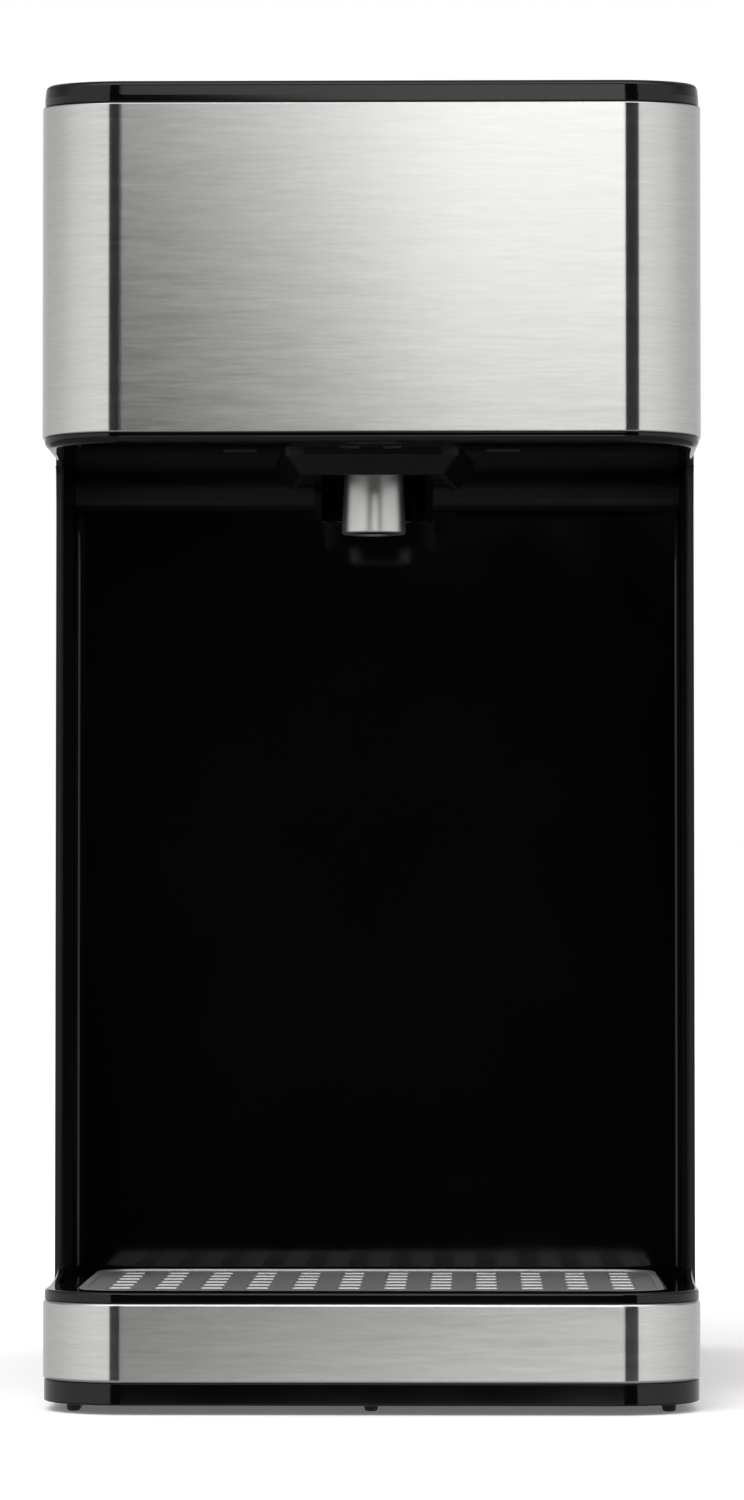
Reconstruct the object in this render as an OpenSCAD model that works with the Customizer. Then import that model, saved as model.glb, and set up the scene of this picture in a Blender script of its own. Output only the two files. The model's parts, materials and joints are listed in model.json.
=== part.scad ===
// Countertop hot water dispenser: a tall body with a head and a base that reach forward round a cup bay,
// a lift-out drip tray in the base, push keys on the sloping top and a water tank that lifts out of the rear.
// Millimetres, +Z up, front towards -Y. The origin is on the table, under the middle of the body.

/* [Body] */
// Width of the head and of the column
body_w = 155; // [145:1:175]
// Depth from the steel front to the back of the tank
body_d = 260; // [250:1:290]
// Plan radius of the front corners
front_r = 19; // [12:0.5:24]
// Plan radius of the rear corners
rear_r = 14; // [8:0.5:18]
// Thickness of the plastic walls
wall = 2.5; // [2:0.1:3]
// Thickness of the side panels
side_t = 1.9; // [1.6:0.1:2.6]
// Thickness of the steel sheet
steel_t = 1; // [0.6:0.1:1.4]
// Clearance between pieces that are fitted together
fit_gap = 0.3; // [0.2:0.05:0.4]

/* [Base] */
// How far the base stands in from the head on each side
base_inset = 0.5; // [0.2:0.1:1]
// Height of the rubber feet
foot_h = 2.2; // [2:0.2:6]
// Width of a foot
foot_w = 3.2; // [2.4:0.2:5]
// Length of a foot, front to back
foot_l = 12; // [8:1:18]
// Height of the pan under the steel band
pan_h = 5.1; // [4:0.1:8]
// Height of the steel band round the base
base_band_h = 18.5; // [18:0.5:26]
// Height of the black rim above that band
rim_h = 2.5; // [2:0.1:4]

/* [Cup bay] */
// Height from the rim to the underside of the head
bay_h = 197; // [185:1:215]
// Depth from the steel front to the bay's back wall
alcove_d = 105; // [100:1:115]
// Depth from the steel front to the front edges of the side panels
cheek_back = 64; // [58:1:70]
// Radius of the cove between the head and the back wall
cove_r = 7; // [4:0.5:9]
// Radius where the side panels meet the base and the head
cheek_r = 5; // [3:0.5:8]
// Thickness of the glossy splash panel
splash_t = 2; // [1.5:0.1:2.5]

/* [Head] */
// Height of the black bezel under the steel front
bezel_h = 2.5; // [2:0.1:4]
// Height of the steel front, measured at the front
band_h = 77; // [70:1:90]
// Height of the black cap above the steel front
cap_h = 5; // [4.5:0.1:7]
// Rise of the top towards the back, in degrees
deck_tilt = 4; // [2:0.5:6]

/* [Nozzle] */
// Depth from the steel front to the nozzle's axis
nozzle_back = 52; // [48:1:56]
// Diameter of the chrome sleeve at its top
sleeve_top_d = 14; // [13.6:0.1:15]
// Diameter of the chrome sleeve at its tip
sleeve_tip_d = 15.4; // [14.5:0.1:17]
// Visible length of the chrome sleeve
sleeve_l = 16.5; // [14:0.5:20]
// Bore of the water outlet
outlet_d = 7; // [5:0.2:8]
// Depth of the nozzle housing under the head
housing_h = 5.5; // [4:0.5:7]
// Width of the nozzle housing at its back
housing_w = 49; // [44:1:56]

/* [Drip tray] */
// Width of the grille
grille_w = 137; // [130:1:139]
// Depth of the grille, front to back
grille_d = 88; // [82:1:90]
// Distance from the steel front to the grille
grille_back = 10; // [9.5:0.5:12]
// Thickness of the grille sheet
grille_t = 1.2; // [0.8:0.1:1.6]
// Plan radius of the grille's corners
grille_r = 11; // [6:1:16]
// Width of a slot
slot_w = 5.4; // [4:0.2:6.4]
// Length of a slot, front to back
slot_l = 8.6; // [7:0.2:10]
// Slots across the grille
slot_cols = 12; // [6:1:12]
// Slots from front to back
slot_rows = 6; // [3:1:6]

/* [Tank] */
// Depth of the column between the cup bay and the tank bay
column_d = 70; // [66:1:76]
// Height of the shelf that the tank stands on
shelf_z = 105; // [100:1:115]
// Wall of the tank
tank_wall = 2.4; // [1.8:0.1:3]
// Height of the lid
lid_h = 6.3; // [6:0.1:8]
// Diameter of the spout under the tank
spout_d = 22; // [20:0.5:24]
// Stroke of the valve in the spout
valve_stroke = 3; // [2:0.25:3.5]
// Diameter of the hinge pin of the lid
hinge_pin_d = 3; // [2.4:0.2:3.4]

/* [Controls] */
// Width of the glossy control panel
panel_w = 104; // [100:1:112]
// Depth of the control panel along the slope
panel_d = 62; // [58:1:68]
// Distance from the front edge to the control panel, along the slope
panel_back = 16; // [12:1:20]
// Diameter of the start key
start_key_d = 26; // [20:1:28]
// Diameter of the small keys
key_d = 14; // [11:0.5:16]
// How far the keys stand proud of the panel
key_proud = 0.9; // [0.5:0.1:2]
// Travel of the keys
key_travel = 1.2; // [0.6:0.1:1.5]

/* [Water path] */
// Outer diameter of the hoses
hose_d = 12; // [10.5:0.5:13]
// Outer diameter of the spigots that the hoses fit on
spigot_d = 8; // [7:0.5:8.5]
// Bore of the spigots
spigot_bore = 5.4; // [4:0.2:5.8]
// Bend radius of the hoses at their middle
hose_bend = 14; // [12:1:16]
// Diameter of the heater tube
heater_d = 36; // [30:1:40]
// Length of the heater tube
heater_l = 110; // [90:5:120]
// Diameter of the pump head
pump_d = 36; // [32:1:40]
// Length of the pump head
pump_l = 18; // [16:1:22]
// Diameter of the pump motor
motor_d = 30; // [24:1:32]
// Length of the pump motor
motor_l = 40; // [30:1:46]

/* [Cord inlet] */
// Bore of the cord bush
cord_bore = 7.2; // [6:0.1:8]
// Diameter of the bush in the rear cover
bush_d = 13; // [11:0.5:15]

/* [Hidden] */
$fn = 72;
eps = 0.01;
running = 0.08;             // radial clearance of a pin that turns in its bore
rest_gap = 0.1;             // gap under a piece that lifts off

front_y = -body_d / 2;
rear_y = body_d / 2;
half_w = body_w / 2;
inner_half_w = half_w - side_t;
cheek_y = front_y + cheek_back;
wall_y = front_y + alcove_d;
bay_y = wall_y + column_d;
cover_inset = 2;            // the rear cover stands in from the tank
cover_y = rear_y - cover_inset;
cover_corner_y = cover_y - rear_r;
chassis_y = cover_corner_y - 2;

pan_z = foot_h;
floor_t = 2;
band_z = pan_z + pan_h;
rim_z = band_z + base_band_h;
deck_z = rim_z + rim_h;
head_z = deck_z + bay_h;
front_z = head_z + bezel_h;
band_top_z = front_z + band_h;
cap_z = band_top_z + cap_h;
flat_z = cap_z + alcove_d * tan(deck_tilt);
shell_inset = steel_t + fit_gap;    // inner shells stand inside the steel
cap_inset = 0.45;
bezel_inset = 0.5;

screw_d = 3;
screw_head_d = 5.6;
screw_head_h = 1.6;
screw_bite = 9;
boss_d = screw_d + 3;
pad_h = 0.8;                // pads inside the pan, so that the screw heads sink into its floor
pad_d = screw_head_d + 3.4;
head_sink = screw_head_h + 0.1;
screw_clear = 0.2;
screw_front_x = 45;
screw_side_in = 19.5;
screw_mid_back = 18;
screw_rear_in = 22;
foot_in = 8;
foot_end = 20;

nozzle_y = front_y + nozzle_back;
housing_draw = 3.6;         // how far the nozzle housing narrows downward
housing_lip = 1.7;
sleeve_z = head_z - sleeve_l - 2;
core_d = sleeve_top_d - 3;
chamber_d = 32;
chamber_h = 30;
chamber_z = front_z + 4;
hose_high_z = chamber_z + chamber_h / 2;

well_gap = 0.5;
well_t = 1.5;
grille_y = front_y + grille_back + grille_d / 2;
tray_lip = 1.8;
lip_h = 0.5;
lip_w = 1.8;
slot_pitch_x = (grille_w - 2 * 9.2) / 11;
slot_pitch_y = (grille_d - 2 * 11.5) / 5;

tank_gap = 1;
tank_half_w = half_w - tank_gap;
tank_y = bay_y + tank_gap;
tank_z = shelf_z + tank_gap;
lid_z = flat_z - lid_h;
tank_top_z = lid_z - fit_gap;
hinge_y = rear_y - 6;
hinge_z = lid_z + lid_h / 2;
knuckle_d = lid_h - 0.4;
lid_rear_y = hinge_y - knuckle_d / 2 - 1;
knuckle_l = 20;
hinge_half = 40;

port_x = -34;
port_y = (bay_y + cover_y) / 2;
port_gap = 2;
port_depth = 10;
port_floor = 3;
spout_drop = port_depth - 3;
seat_t = 2;
plunger_d = 14;
plunger_t = 2;
pin_d = 2.4;
spout_z = tank_z - spout_drop;
seat_z = spout_z + seat_t;
plunger_z = seat_z + valve_stroke + rest_gap;
stem_d = 3;
cage_h = 7;
cage_z = tank_z + tank_wall;
cage_t = 1.6;

key_gap = 0.25;
flange = 1.4;
flange_t = 1;
panel_t = 2;
ledge = 3;
stem_l = 3.5;
key_stem_d = 4;
board_t = 1.6;
switch_h = 3.5;
key_row_back = panel_d - 14;
start_back = 22;
key_edge = 16;
key_pitch = (panel_w - 2 * key_edge) / 3;
lens_d = 2.4;
lens_gap = 0.1;
lens_edge = 6;
lens_pitch = 6;
board_drop = panel_t + rest_gap + flange_t + stem_l + key_travel + fit_gap + switch_h;

heater_y = (wall_y + bay_y) / 2;
heater_z = 80;
cap_end = 8;
clip_h = 10;
clip_w = 24;
clip_in = 25;
cutout_d = 14;
cutout_h = 4;
cutout_pitch = 18;
spigot_l = 12;
pump_y = port_y;
pump_z = pan_z + floor_t + pump_d / 2 + 14;
outlet_z = pump_z + pump_d / 2 - spigot_d / 2 - 4;
hose_bore = spigot_d + 2 * 0.2;
window_gap = 3;
pump_wall = 2;
shaft_d = 3;
vane_t = 1.2;
cradle_grip = 8;
cradle_in = 6;
push_on = 9;                // how far a hose goes over its spigot

vent_count = 7;
vent_pitch = 8;
vent_w = 3;
vent_h = 28;
vent_x = -40;
vent_z = band_z + 40;
bush_x = 45;
bush_z = band_z + 14;
bush_reach = 6;             // how far the bush goes in past the rear cover

// Shapes that several pieces share

// Plan of a body with round front and rear corners, between y0 and y1, drawn in by inset all round
module plan(w, y0, y1, rf, rr, inset = 0) {
    h = w / 2 - inset;
    a = y0 + inset;
    b = y1 - inset;
    f = max(rf - inset, 0.2);
    r = max(rr - inset, 0.2);
    middle = (a + b) / 2;
    translate([-h, a + f]) square([2 * h, b - a - f - r]);
    translate([-h + f, a]) square([2 * (h - f), middle - a + 1]);
    translate([-h + r, middle]) square([2 * (h - r), b - middle]);
    for (s = [-1, 1]) {
        translate([s * (h - f), a + f]) circle(f);
        translate([s * (h - r), b - r]) circle(r);
    }
}

module head_plan(inset = 0) { plan(body_w, front_y, cover_y, front_r, rear_r, inset); }

module base_plan(inset = 0) {
    plan(body_w - 2 * base_inset, front_y + base_inset, cover_y, front_r, rear_r, inset);
}

// Rounded rectangle centred on y
module tray_plan(y, grow = 0) {
    d = grille_d + 2 * grow;
    plan(grille_w + 2 * grow, y - d / 2, y + d / 2, grille_r + grow, grille_r + grow);
}

// Everything in front of a plane across the body, or behind it
module in_front_of(y) { translate([-body_w, y - 2 * body_d, -1]) cube([2 * body_w, 2 * body_d, 2 * flat_z]); }

module behind(y) { translate([-body_w, y, -1]) cube([2 * body_w, 2 * body_d, 2 * flat_z]); }

// A profile drawn in (y, z), carried from x0 to x1
module along_x(x0, x1) { translate([x0, 0, 0]) rotate([90, 0, 90]) linear_extrude(x1 - x0) children(); }

// Everything below the sloping top, lowered by drop
module under_deck(drop, reach = 20) {
    slope = tan(deck_tilt);
    along_x(-body_w, body_w) polygon([
        [front_y - reach, -1], [front_y - reach, cap_z - drop - reach * slope], [wall_y, flat_z - drop],
        [rear_y + reach, flat_z - drop], [rear_y + reach, -1]]);
}

// Frame of the sloping deck: y runs up the slope from the front edge, z stands square to it
module on_deck() { translate([0, front_y, cap_z]) rotate([deck_tilt, 0, 0]) children(); }

module tube(d_out, d_in, l) {
    difference() {
        cylinder(d = d_out, h = l);
        translate([0, 0, -1]) cylinder(d = d_in, h = l + 2);
    }
}

// A hose with one bend, in the (y, z) plane: straight for run_a up to the bend, then straight for run_b.
// It starts at the origin going up, and after the bend goes along +Y.
module bent_rod(d, run_a, run_b) {
    cylinder(d = d, h = run_a);
    translate([0, hose_bend, run_a]) rotate([90, 0, -90])
        rotate_extrude(angle = 90) translate([hose_bend, 0]) circle(d = d);
    translate([0, hose_bend, run_a + hose_bend]) rotate([-90, 0, 0]) cylinder(d = d, h = run_b);
}

module bent_hose(run_a, run_b) {
    difference() {
        bent_rod(hose_d, run_a, run_b);
        translate([0, 0, -eps]) bent_rod(hose_bore, run_a + eps, run_b + 1);
    }
}

module cove(r) {
    difference() {
        square(r);
        translate([r, r]) circle(r);
    }
}

// Base

function screw_spots() = [for (s = [-1, 1]) each [
    [s * screw_front_x, front_y + base_inset + shell_inset + wall + boss_d / 2 + screw_clear],
    [s * (half_w - screw_side_in), wall_y + screw_mid_back],
    [s * (half_w - screw_side_in), cover_y - screw_rear_in]]];

function foot_spots() = [for (x = [-1, 0, 1], y = [front_y + foot_end, cover_y - foot_end])
    [x * (half_w - foot_in), y]];

module base_pan() {
    color("#0d0d0e") difference() {
        union() {
            difference() {
                translate([0, 0, pan_z]) linear_extrude(pan_h) base_plan(0.2);
                translate([0, 0, pan_z + floor_t]) linear_extrude(pan_h) base_plan(0.2 + wall);
            }
            for (p = screw_spots()) translate([p[0], p[1], pan_z]) cylinder(d = pad_d, h = floor_t + pad_h);
        }
        for (p = screw_spots()) translate([p[0], p[1], 0]) {
            cylinder(d = screw_head_d + 2 * fit_gap, h = pan_z + head_sink);
            cylinder(d = screw_d + 2 * fit_gap, h = band_z);
        }
    }
}

module rubber_feet() {
    color("#151515") for (p = foot_spots()) translate([p[0], p[1], 0]) {
        translate([-foot_w / 2, -(foot_l - foot_w) / 2, 0]) cube([foot_w, foot_l - foot_w, foot_h]);
        for (s = [-1, 1]) translate([0, s * (foot_l - foot_w) / 2, 0]) cylinder(d = foot_w, h = foot_h);
    }
}

module base_screws() {
    under_head = floor_t + pad_h - head_sink;
    color("#9a9a98") for (p = screw_spots()) translate([p[0], p[1], pan_z + head_sink - screw_head_h]) {
        cylinder(d = screw_head_d, h = screw_head_h);
        cylinder(d = screw_d, h = screw_head_h + under_head + screw_bite);
    }
}

module base_band() {
    color("#b4b3af") intersection() {
        translate([0, 0, band_z]) linear_extrude(base_band_h) difference() {
            base_plan();
            base_plan(steel_t);
        }
        in_front_of(cheek_y - fit_gap);
    }
}

// Rim, the wall behind the steel band, the well for the drip tray, the screw bosses and a window for the pump
module base_deck() {
    well_z = pan_z + floor_t + 1;
    color("#101011") difference() {
        union() {
            translate([0, 0, rim_z]) linear_extrude(rim_h) {
                deck_plan(0.3);
                window_plan(wall);
            }
            translate([0, 0, band_z]) linear_extrude(base_band_h + eps) difference() {
                deck_plan(shell_inset);
                deck_plan(shell_inset + wall);
            }
            translate([0, 0, well_z]) linear_extrude(rim_z - well_z + eps)
                tray_plan(grille_y, well_gap + well_t);
            for (p = screw_spots()) translate([p[0], p[1], pan_z + floor_t + pad_h])
                cylinder(d = boss_d, h = rim_z - pan_z - floor_t - pad_h + eps);
        }
        translate([0, 0, well_z + floor_t]) linear_extrude(deck_z) tray_plan(grille_y, well_gap);
        for (p = screw_spots()) translate([p[0], p[1], pan_z])
            cylinder(d = screw_d + 2 * running, h = floor_t + pad_h + screw_bite + 1);
        translate([0, 0, pan_z]) linear_extrude(deck_z) window_plan(0);
        translate([bush_x, cover_y, bush_z]) rotate([90, 0, 0])
            cylinder(d = bush_d + 2 * fit_gap, h = wall + bush_reach + fit_gap);
    }
}

// Window in the deck that the pump and its motor stand in; grown, it is the frame round that window
module window_plan(grow) {
    margin = window_gap + grow;
    translate([-pump_l / 2 - margin, pump_y - pump_d / 2 - margin])
        square([pump_l + motor_l + 2 * margin, pump_d + 2 * margin]);
}

// The deck runs inside the side panels, and fills the base in front of them
module deck_plan(inset) {
    intersection() {
        base_plan(inset);
        translate([-body_w, front_y - 1]) square([2 * body_w, cheek_back + 1 - fit_gap]);
    }
    start_y = cheek_y - fit_gap - 1 - inset;
    half = inner_half_w - inset;
    translate([-half, start_y]) square([2 * half, chassis_y - inset - start_y]);
}

module drip_tray() {
    tray_z = pan_z + floor_t + 1 + floor_t + rest_gap;
    top_z = deck_z - grille_t - rest_gap;
    color("#131314") difference() {
        translate([0, 0, tray_z]) linear_extrude(top_z - tray_z) tray_plan(grille_y);
        translate([0, 0, tray_z + floor_t]) linear_extrude(deck_z) tray_plan(grille_y, -tray_lip);
    }
}

module drip_grille() {
    color("#8d8d8b") translate([0, 0, deck_z - grille_t]) {
        difference() {
            linear_extrude(grille_t) tray_plan(grille_y);
            for (i = [0:slot_cols - 1], j = [0:slot_rows - 1])
                translate([(i - (slot_cols - 1) / 2) * slot_pitch_x,
                           grille_y + (j - (slot_rows - 1) / 2) * slot_pitch_y, -1])
                    linear_extrude(grille_t + 2) slot();
        }
        translate([0, 0, grille_t - eps]) linear_extrude(lip_h + eps) difference() {
            tray_plan(grille_y);
            tray_plan(grille_y, -lip_w);
        }
    }
}

module slot() {
    straight = slot_l - slot_w;
    square([slot_w, straight], center = true);
    for (s = [-1, 1]) translate([0, s * straight / 2]) circle(d = slot_w);
}

// Body shells

// Outline of a side panel in (y, z): full height round the column, low beside the tank
module side_outline() {
    translate([cheek_y, band_z]) square([cover_corner_y - cheek_y, shelf_z - band_z]);
    translate([cheek_y, band_z]) square([bay_y - cheek_y, flat_z - band_z]);
    translate([cheek_y + eps, deck_z]) mirror([1, 0]) cove(cheek_r);
    translate([cheek_y + eps, head_z]) mirror([1, 0]) mirror([0, 1]) cove(cheek_r);
}

module side_panel() {
    intersection() {
        along_x(inner_half_w, half_w) side_outline();
        under_deck(cap_h);
    }
}

module left_side_panel() { color("#0f0f10") mirror([1, 0, 0]) side_panel(); }

module right_side_panel() { color("#0f0f10") side_panel(); }

module rear_cover() {
    color("#0f0f10") difference() {
        intersection() {
            translate([0, 0, band_z]) linear_extrude(shelf_z - band_z) difference() {
                head_plan();
                head_plan(wall);
            }
            behind(cover_corner_y);
        }
        translate([bush_x, cover_y + 1, bush_z]) rotate([90, 0, 0])
            cylinder(d = bush_d + 2 * fit_gap, h = wall + 2);
        for (i = [0:vent_count - 1]) translate([vent_x + i * vent_pitch, cover_y - wall - 1, vent_z])
            cube([vent_w, wall + 2, vent_h]);
    }
}

module cord_bush() {
    color("#141414") translate([bush_x, cover_y + cover_inset, bush_z]) rotate([90, 0, 0]) difference() {
        union() {
            cylinder(d = bush_d + 4, h = cover_inset);
            cylinder(d = bush_d, h = cover_inset + wall + bush_reach);
        }
        translate([0, 0, -1]) cylinder(d = cord_bore, h = cover_inset + wall + bush_reach + 2);
    }
}

// Shelf under the tank, with the socket for the tank's spout and the pin that opens its valve
module tank_shelf() {
    socket_d = spout_d + 2 * port_gap;
    socket_z = shelf_z - port_depth;
    color("#161617") difference() {
        union() {
            translate([-(inner_half_w - fit_gap), bay_y - wall, shelf_z - wall])
                cube([2 * (inner_half_w - fit_gap), cover_y - wall - fit_gap - bay_y + wall - rear_r, wall]);
            translate([-(inner_half_w - rear_r), bay_y - wall, shelf_z - wall])
                cube([2 * (inner_half_w - rear_r), cover_y - wall - fit_gap - bay_y + wall, wall]);
            translate([port_x, port_y, socket_z - port_floor])
                cylinder(d = socket_d + 2 * wall, h = port_depth + port_floor);
            translate([port_x, port_y, socket_z - port_floor - spigot_l])
                cylinder(d = spigot_d, h = spigot_l + 1);
        }
        translate([port_x, port_y, socket_z]) cylinder(d = socket_d, h = port_depth + 1);
        difference() {
            translate([port_x, port_y, socket_z - port_floor - spigot_l - 1])
                cylinder(d = spigot_bore, h = spigot_l + port_floor + 2);
            translate([port_x - spigot_d, port_y - pin_d / 4, socket_z - port_floor])
                cube([2 * spigot_d, pin_d / 2, port_floor]);
        }
    }
    color("#161617") translate([port_x, port_y, socket_z - port_floor / 2])
        cylinder(d = pin_d, h = plunger_z - rest_gap - socket_z + port_floor / 2);
}

module port_seal() {
    ring_d = port_gap - 2 * rest_gap;
    color("#a8442f") translate([port_x, port_y, shelf_z - port_depth / 2])
        rotate_extrude() translate([spout_d / 2 + port_gap / 2, 0]) circle(d = ring_d);
}

module column_rear_wall() {
    color("#0f0f10") intersection() {
        translate([-(inner_half_w - fit_gap), bay_y - wall, shelf_z])
            cube([2 * (inner_half_w - fit_gap), wall, flat_z - shelf_z]);
        under_deck(cap_h);
    }
}

// Back wall of the cup bay, with the cove under the head
module alcove_liner() {
    liner_half = inner_half_w - 0.2;
    color("#0b0b0c") {
        along_x(-liner_half, liner_half) {
            translate([wall_y, deck_z]) square([wall, head_z - deck_z]);
            translate([wall_y + eps, head_z]) mirror([1, 0]) mirror([0, 1]) cove(cove_r);
        }
    }
}

module splash_panel() {
    half = inner_half_w - 0.8;
    bevel = 0.8;
    color("#050506") translate([0, 0, deck_z + 0.5]) linear_extrude(head_z - deck_z - cove_r - 2) polygon([
        [-half, wall_y], [-half, wall_y - splash_t + bevel], [-half + bevel, wall_y - splash_t],
        [half - bevel, wall_y - splash_t], [half, wall_y - splash_t + bevel], [half, wall_y]]);
}

// Head

module head_floor_plan(inset) {
    intersection() {
        head_plan(inset);
        translate([-body_w, front_y - 1]) square([2 * body_w, cheek_back + 1 - fit_gap]);
    }
    translate([-(inner_half_w - inset), cheek_y - 1 - fit_gap])
        square([2 * (inner_half_w - inset), wall_y - cheek_y + 1 + fit_gap - inset]);
}

// Underside of the head, with the bezel, the flange inside the steel front and four shallow clip pockets
module head_underside() {
    flange_h = 12;
    color("#0c0c0d") difference() {
        union() {
            translate([0, 0, head_z]) linear_extrude(bezel_h) head_floor_plan(bezel_inset);
            translate([0, 0, front_z - eps]) linear_extrude(flange_h) intersection() {
                difference() {
                    head_plan(shell_inset);
                    head_plan(shell_inset + wall);
                }
                translate([-body_w, front_y - 1]) square([2 * body_w, cheek_back - fit_gap]);
            }
        }
        translate([0, nozzle_y, head_z - 1]) cylinder(d = core_d + 2 * fit_gap, h = bezel_h + 2);
        for (s = [-1, 1]) {
            translate([s * 31 - 4, front_y + 9, head_z - 1]) cube([8, 5, 2]);
            translate([s * 5 - 2.2, front_y + 6, head_z - 1]) cube([4.4, 3, 2]);
        }
    }
}

// Plan of the nozzle housing: narrower at the front, with round corners
module housing_plan(inset) {
    back = nozzle_y + 24;
    front = front_y + 22;
    r = 6;
    hull() {
        for (s = [-1, 1]) {
            translate([s * (housing_w / 2 - 4 - r), front + r]) circle(r - inset, $fn = 32);
            translate([s * (housing_w / 2 - r), back - r]) circle(r - inset, $fn = 32);
        }
    }
}

module nozzle_housing() {
    color("#121213") difference() {
        hull() {
            translate([0, 0, head_z - 1]) linear_extrude(1) housing_plan(0);
            translate([0, 0, head_z - housing_h]) linear_extrude(1) housing_plan(housing_draw);
        }
        translate([0, 0, head_z - housing_h - 1]) linear_extrude(3) housing_plan(housing_draw + housing_lip);
        translate([0, nozzle_y, 0]) cylinder(d = core_d + 2 * fit_gap, h = head_z + 1);
        translate([0, nozzle_y, 0]) cylinder(d = sleeve_top_d + 2 * fit_gap, h = sleeve_z + sleeve_l);
    }
}

// Guard round the back of the nozzle, open to the front
module nozzle_shroud() {
    shroud_d = 28.6;
    top_z = head_z - housing_h + 2;
    bottom_z = sleeve_z + 4;
    color("#0e0e0f") translate([0, nozzle_y, bottom_z]) difference() {
        cylinder(d = shroud_d, h = top_z - bottom_z);
        translate([0, 0, -1]) cylinder(d = shroud_d - 3.4, h = top_z - bottom_z + 2);
        translate([-shroud_d, -shroud_d * 2 - 2, -1]) cube([2 * shroud_d, 2 * shroud_d, top_z]);
    }
}

module nozzle_core() {
    tip_z = sleeve_z + 1.2;
    color("#1b1b1c") translate([0, nozzle_y, tip_z]) tube(core_d, outlet_d, chamber_z - tip_z);
}

module nozzle_sleeve() {
    color("#d6d6d4") translate([0, nozzle_y, sleeve_z]) difference() {
        cylinder(d1 = sleeve_tip_d, d2 = sleeve_top_d, h = sleeve_l);
        translate([0, 0, -1]) cylinder(d = core_d + 2 * running, h = sleeve_l + 2);
    }
}

module front_panel() {
    color("#bcbbb7") intersection() {
        translate([0, 0, front_z]) linear_extrude(flat_z) difference() {
            head_plan();
            head_plan(steel_t);
        }
        in_front_of(cheek_y - fit_gap);
        under_deck(cap_h);
    }
}

// Top: cap, control panel, keys and board

module cap_plan(inset) { plan(body_w, front_y, bay_y + cap_inset, front_r, 2, inset); }

module top_cover() {
    open_w = panel_w - 2 * ledge;
    open_d = panel_d - 2 * ledge;
    color("#0e0e0f") {
        difference() {
            intersection() {
                linear_extrude(2 * flat_z) cap_plan(cap_inset);
                under_deck(0);
            }
            under_deck(cap_h);
            intersection() {
                linear_extrude(2 * flat_z) cap_plan(cap_inset + wall);
                under_deck(panel_t + 1);
            }
            on_deck() {
                translate([-panel_w / 2 - fit_gap, panel_back - fit_gap, -panel_t])
                    cube([panel_w + 2 * fit_gap, panel_d + 2 * fit_gap, 2 * cap_h]);
                translate([-open_w / 2, panel_back + ledge, -2 * cap_h]) cube([open_w, open_d, 4 * cap_h]);
            }
        }
        on_deck() for (p = board_spots()) translate([p[0], p[1], -board_drop])
            tube(boss_d, screw_d + 2 * running, board_drop - panel_t - 0.8);
    }
}

function board_spots() = [for (s = [-1, 1], e = [-0.5, panel_d + 0.5])
    [s * (panel_w / 2 - 8), panel_back + e]];

function key_spot(i) = [(i - 1.5) * key_pitch, panel_back + key_row_back];

function lens_spots() = [for (s = [-1, 1], i = [0:3])
    [s * (panel_w / 2 - lens_edge - i * lens_pitch), panel_back + start_back]];

module control_panel() {
    color("#060607") on_deck() difference() {
        translate([-panel_w / 2, panel_back, -panel_t]) cube([panel_w, panel_d, panel_t]);
        translate([0, panel_back + start_back, -panel_t - 1])
            cylinder(d = start_key_d + 2 * key_gap, h = panel_t + 2);
        for (i = [0:3]) translate([key_spot(i)[0], key_spot(i)[1], -panel_t - 1])
            cylinder(d = key_d + 2 * key_gap, h = panel_t + 2);
        for (p = lens_spots()) translate([p[0], p[1], -panel_t - 1])
            cylinder(d = lens_d + 2 * lens_gap, h = panel_t + 2);
    }
}

module indicator_lenses() {
    color("#dfe8ee") on_deck() for (p = lens_spots()) translate([p[0], p[1], -panel_t - 1])
        cylinder(d = lens_d, h = panel_t + 1.1);
}

// A round key: cap through the panel, flange under it and a stem towards its switch
module key(d, x, y) {
    flange_z = -panel_t - rest_gap - flange_t;
    color("#2a2b2d") on_deck() translate([x, y, flange_z]) {
        cylinder(d = d, h = key_proud - flange_z);
        cylinder(d = d + 2 * flange, h = flange_t);
        translate([0, 0, -stem_l]) cylinder(d = key_stem_d, h = stem_l + eps);
    }
}

module start_key() { key(start_key_d, 0, panel_back + start_back); }

module power_key() { key(key_d, key_spot(0)[0], key_spot(0)[1]); }

module temperature_key() { key(key_d, key_spot(1)[0], key_spot(1)[1]); }

module volume_key() { key(key_d, key_spot(2)[0], key_spot(2)[1]); }

module lock_key() { key(key_d, key_spot(3)[0], key_spot(3)[1]); }

module control_board() {
    color("#1f5b3a") on_deck() difference() {
        translate([-panel_w / 2 + 2, panel_back - 5, -board_drop - board_t])
            cube([panel_w - 4, panel_d + 10, board_t]);
        for (p = board_spots()) translate([p[0], p[1], -board_drop - board_t - 1])
            cylinder(d = screw_d + 2 * fit_gap, h = board_t + 2);
    }
}

module key_switches() {
    color("#303030") on_deck() {
        for (p = concat([[0, panel_back + start_back]], [for (i = [0:3]) key_spot(i)]))
            translate([p[0], p[1], -board_drop]) {
                translate([-3, -3, 0]) cube([6, 6, switch_h - 0.8]);
                cylinder(d = 3.4, h = switch_h);
            }
        for (p = lens_spots()) translate([p[0] - 1, p[1] - 1, -board_drop])
            cube([2, 2, board_drop - panel_t - 1.2]);
    }
}

module board_screws() {
    color("#9a9a98") on_deck() for (p = board_spots()) translate([p[0], p[1], -board_drop - board_t]) {
        translate([0, 0, -screw_head_h]) cylinder(d = screw_head_d, h = screw_head_h);
        cylinder(d = screw_d, h = board_t + 5);
    }
}

// Water path

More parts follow.
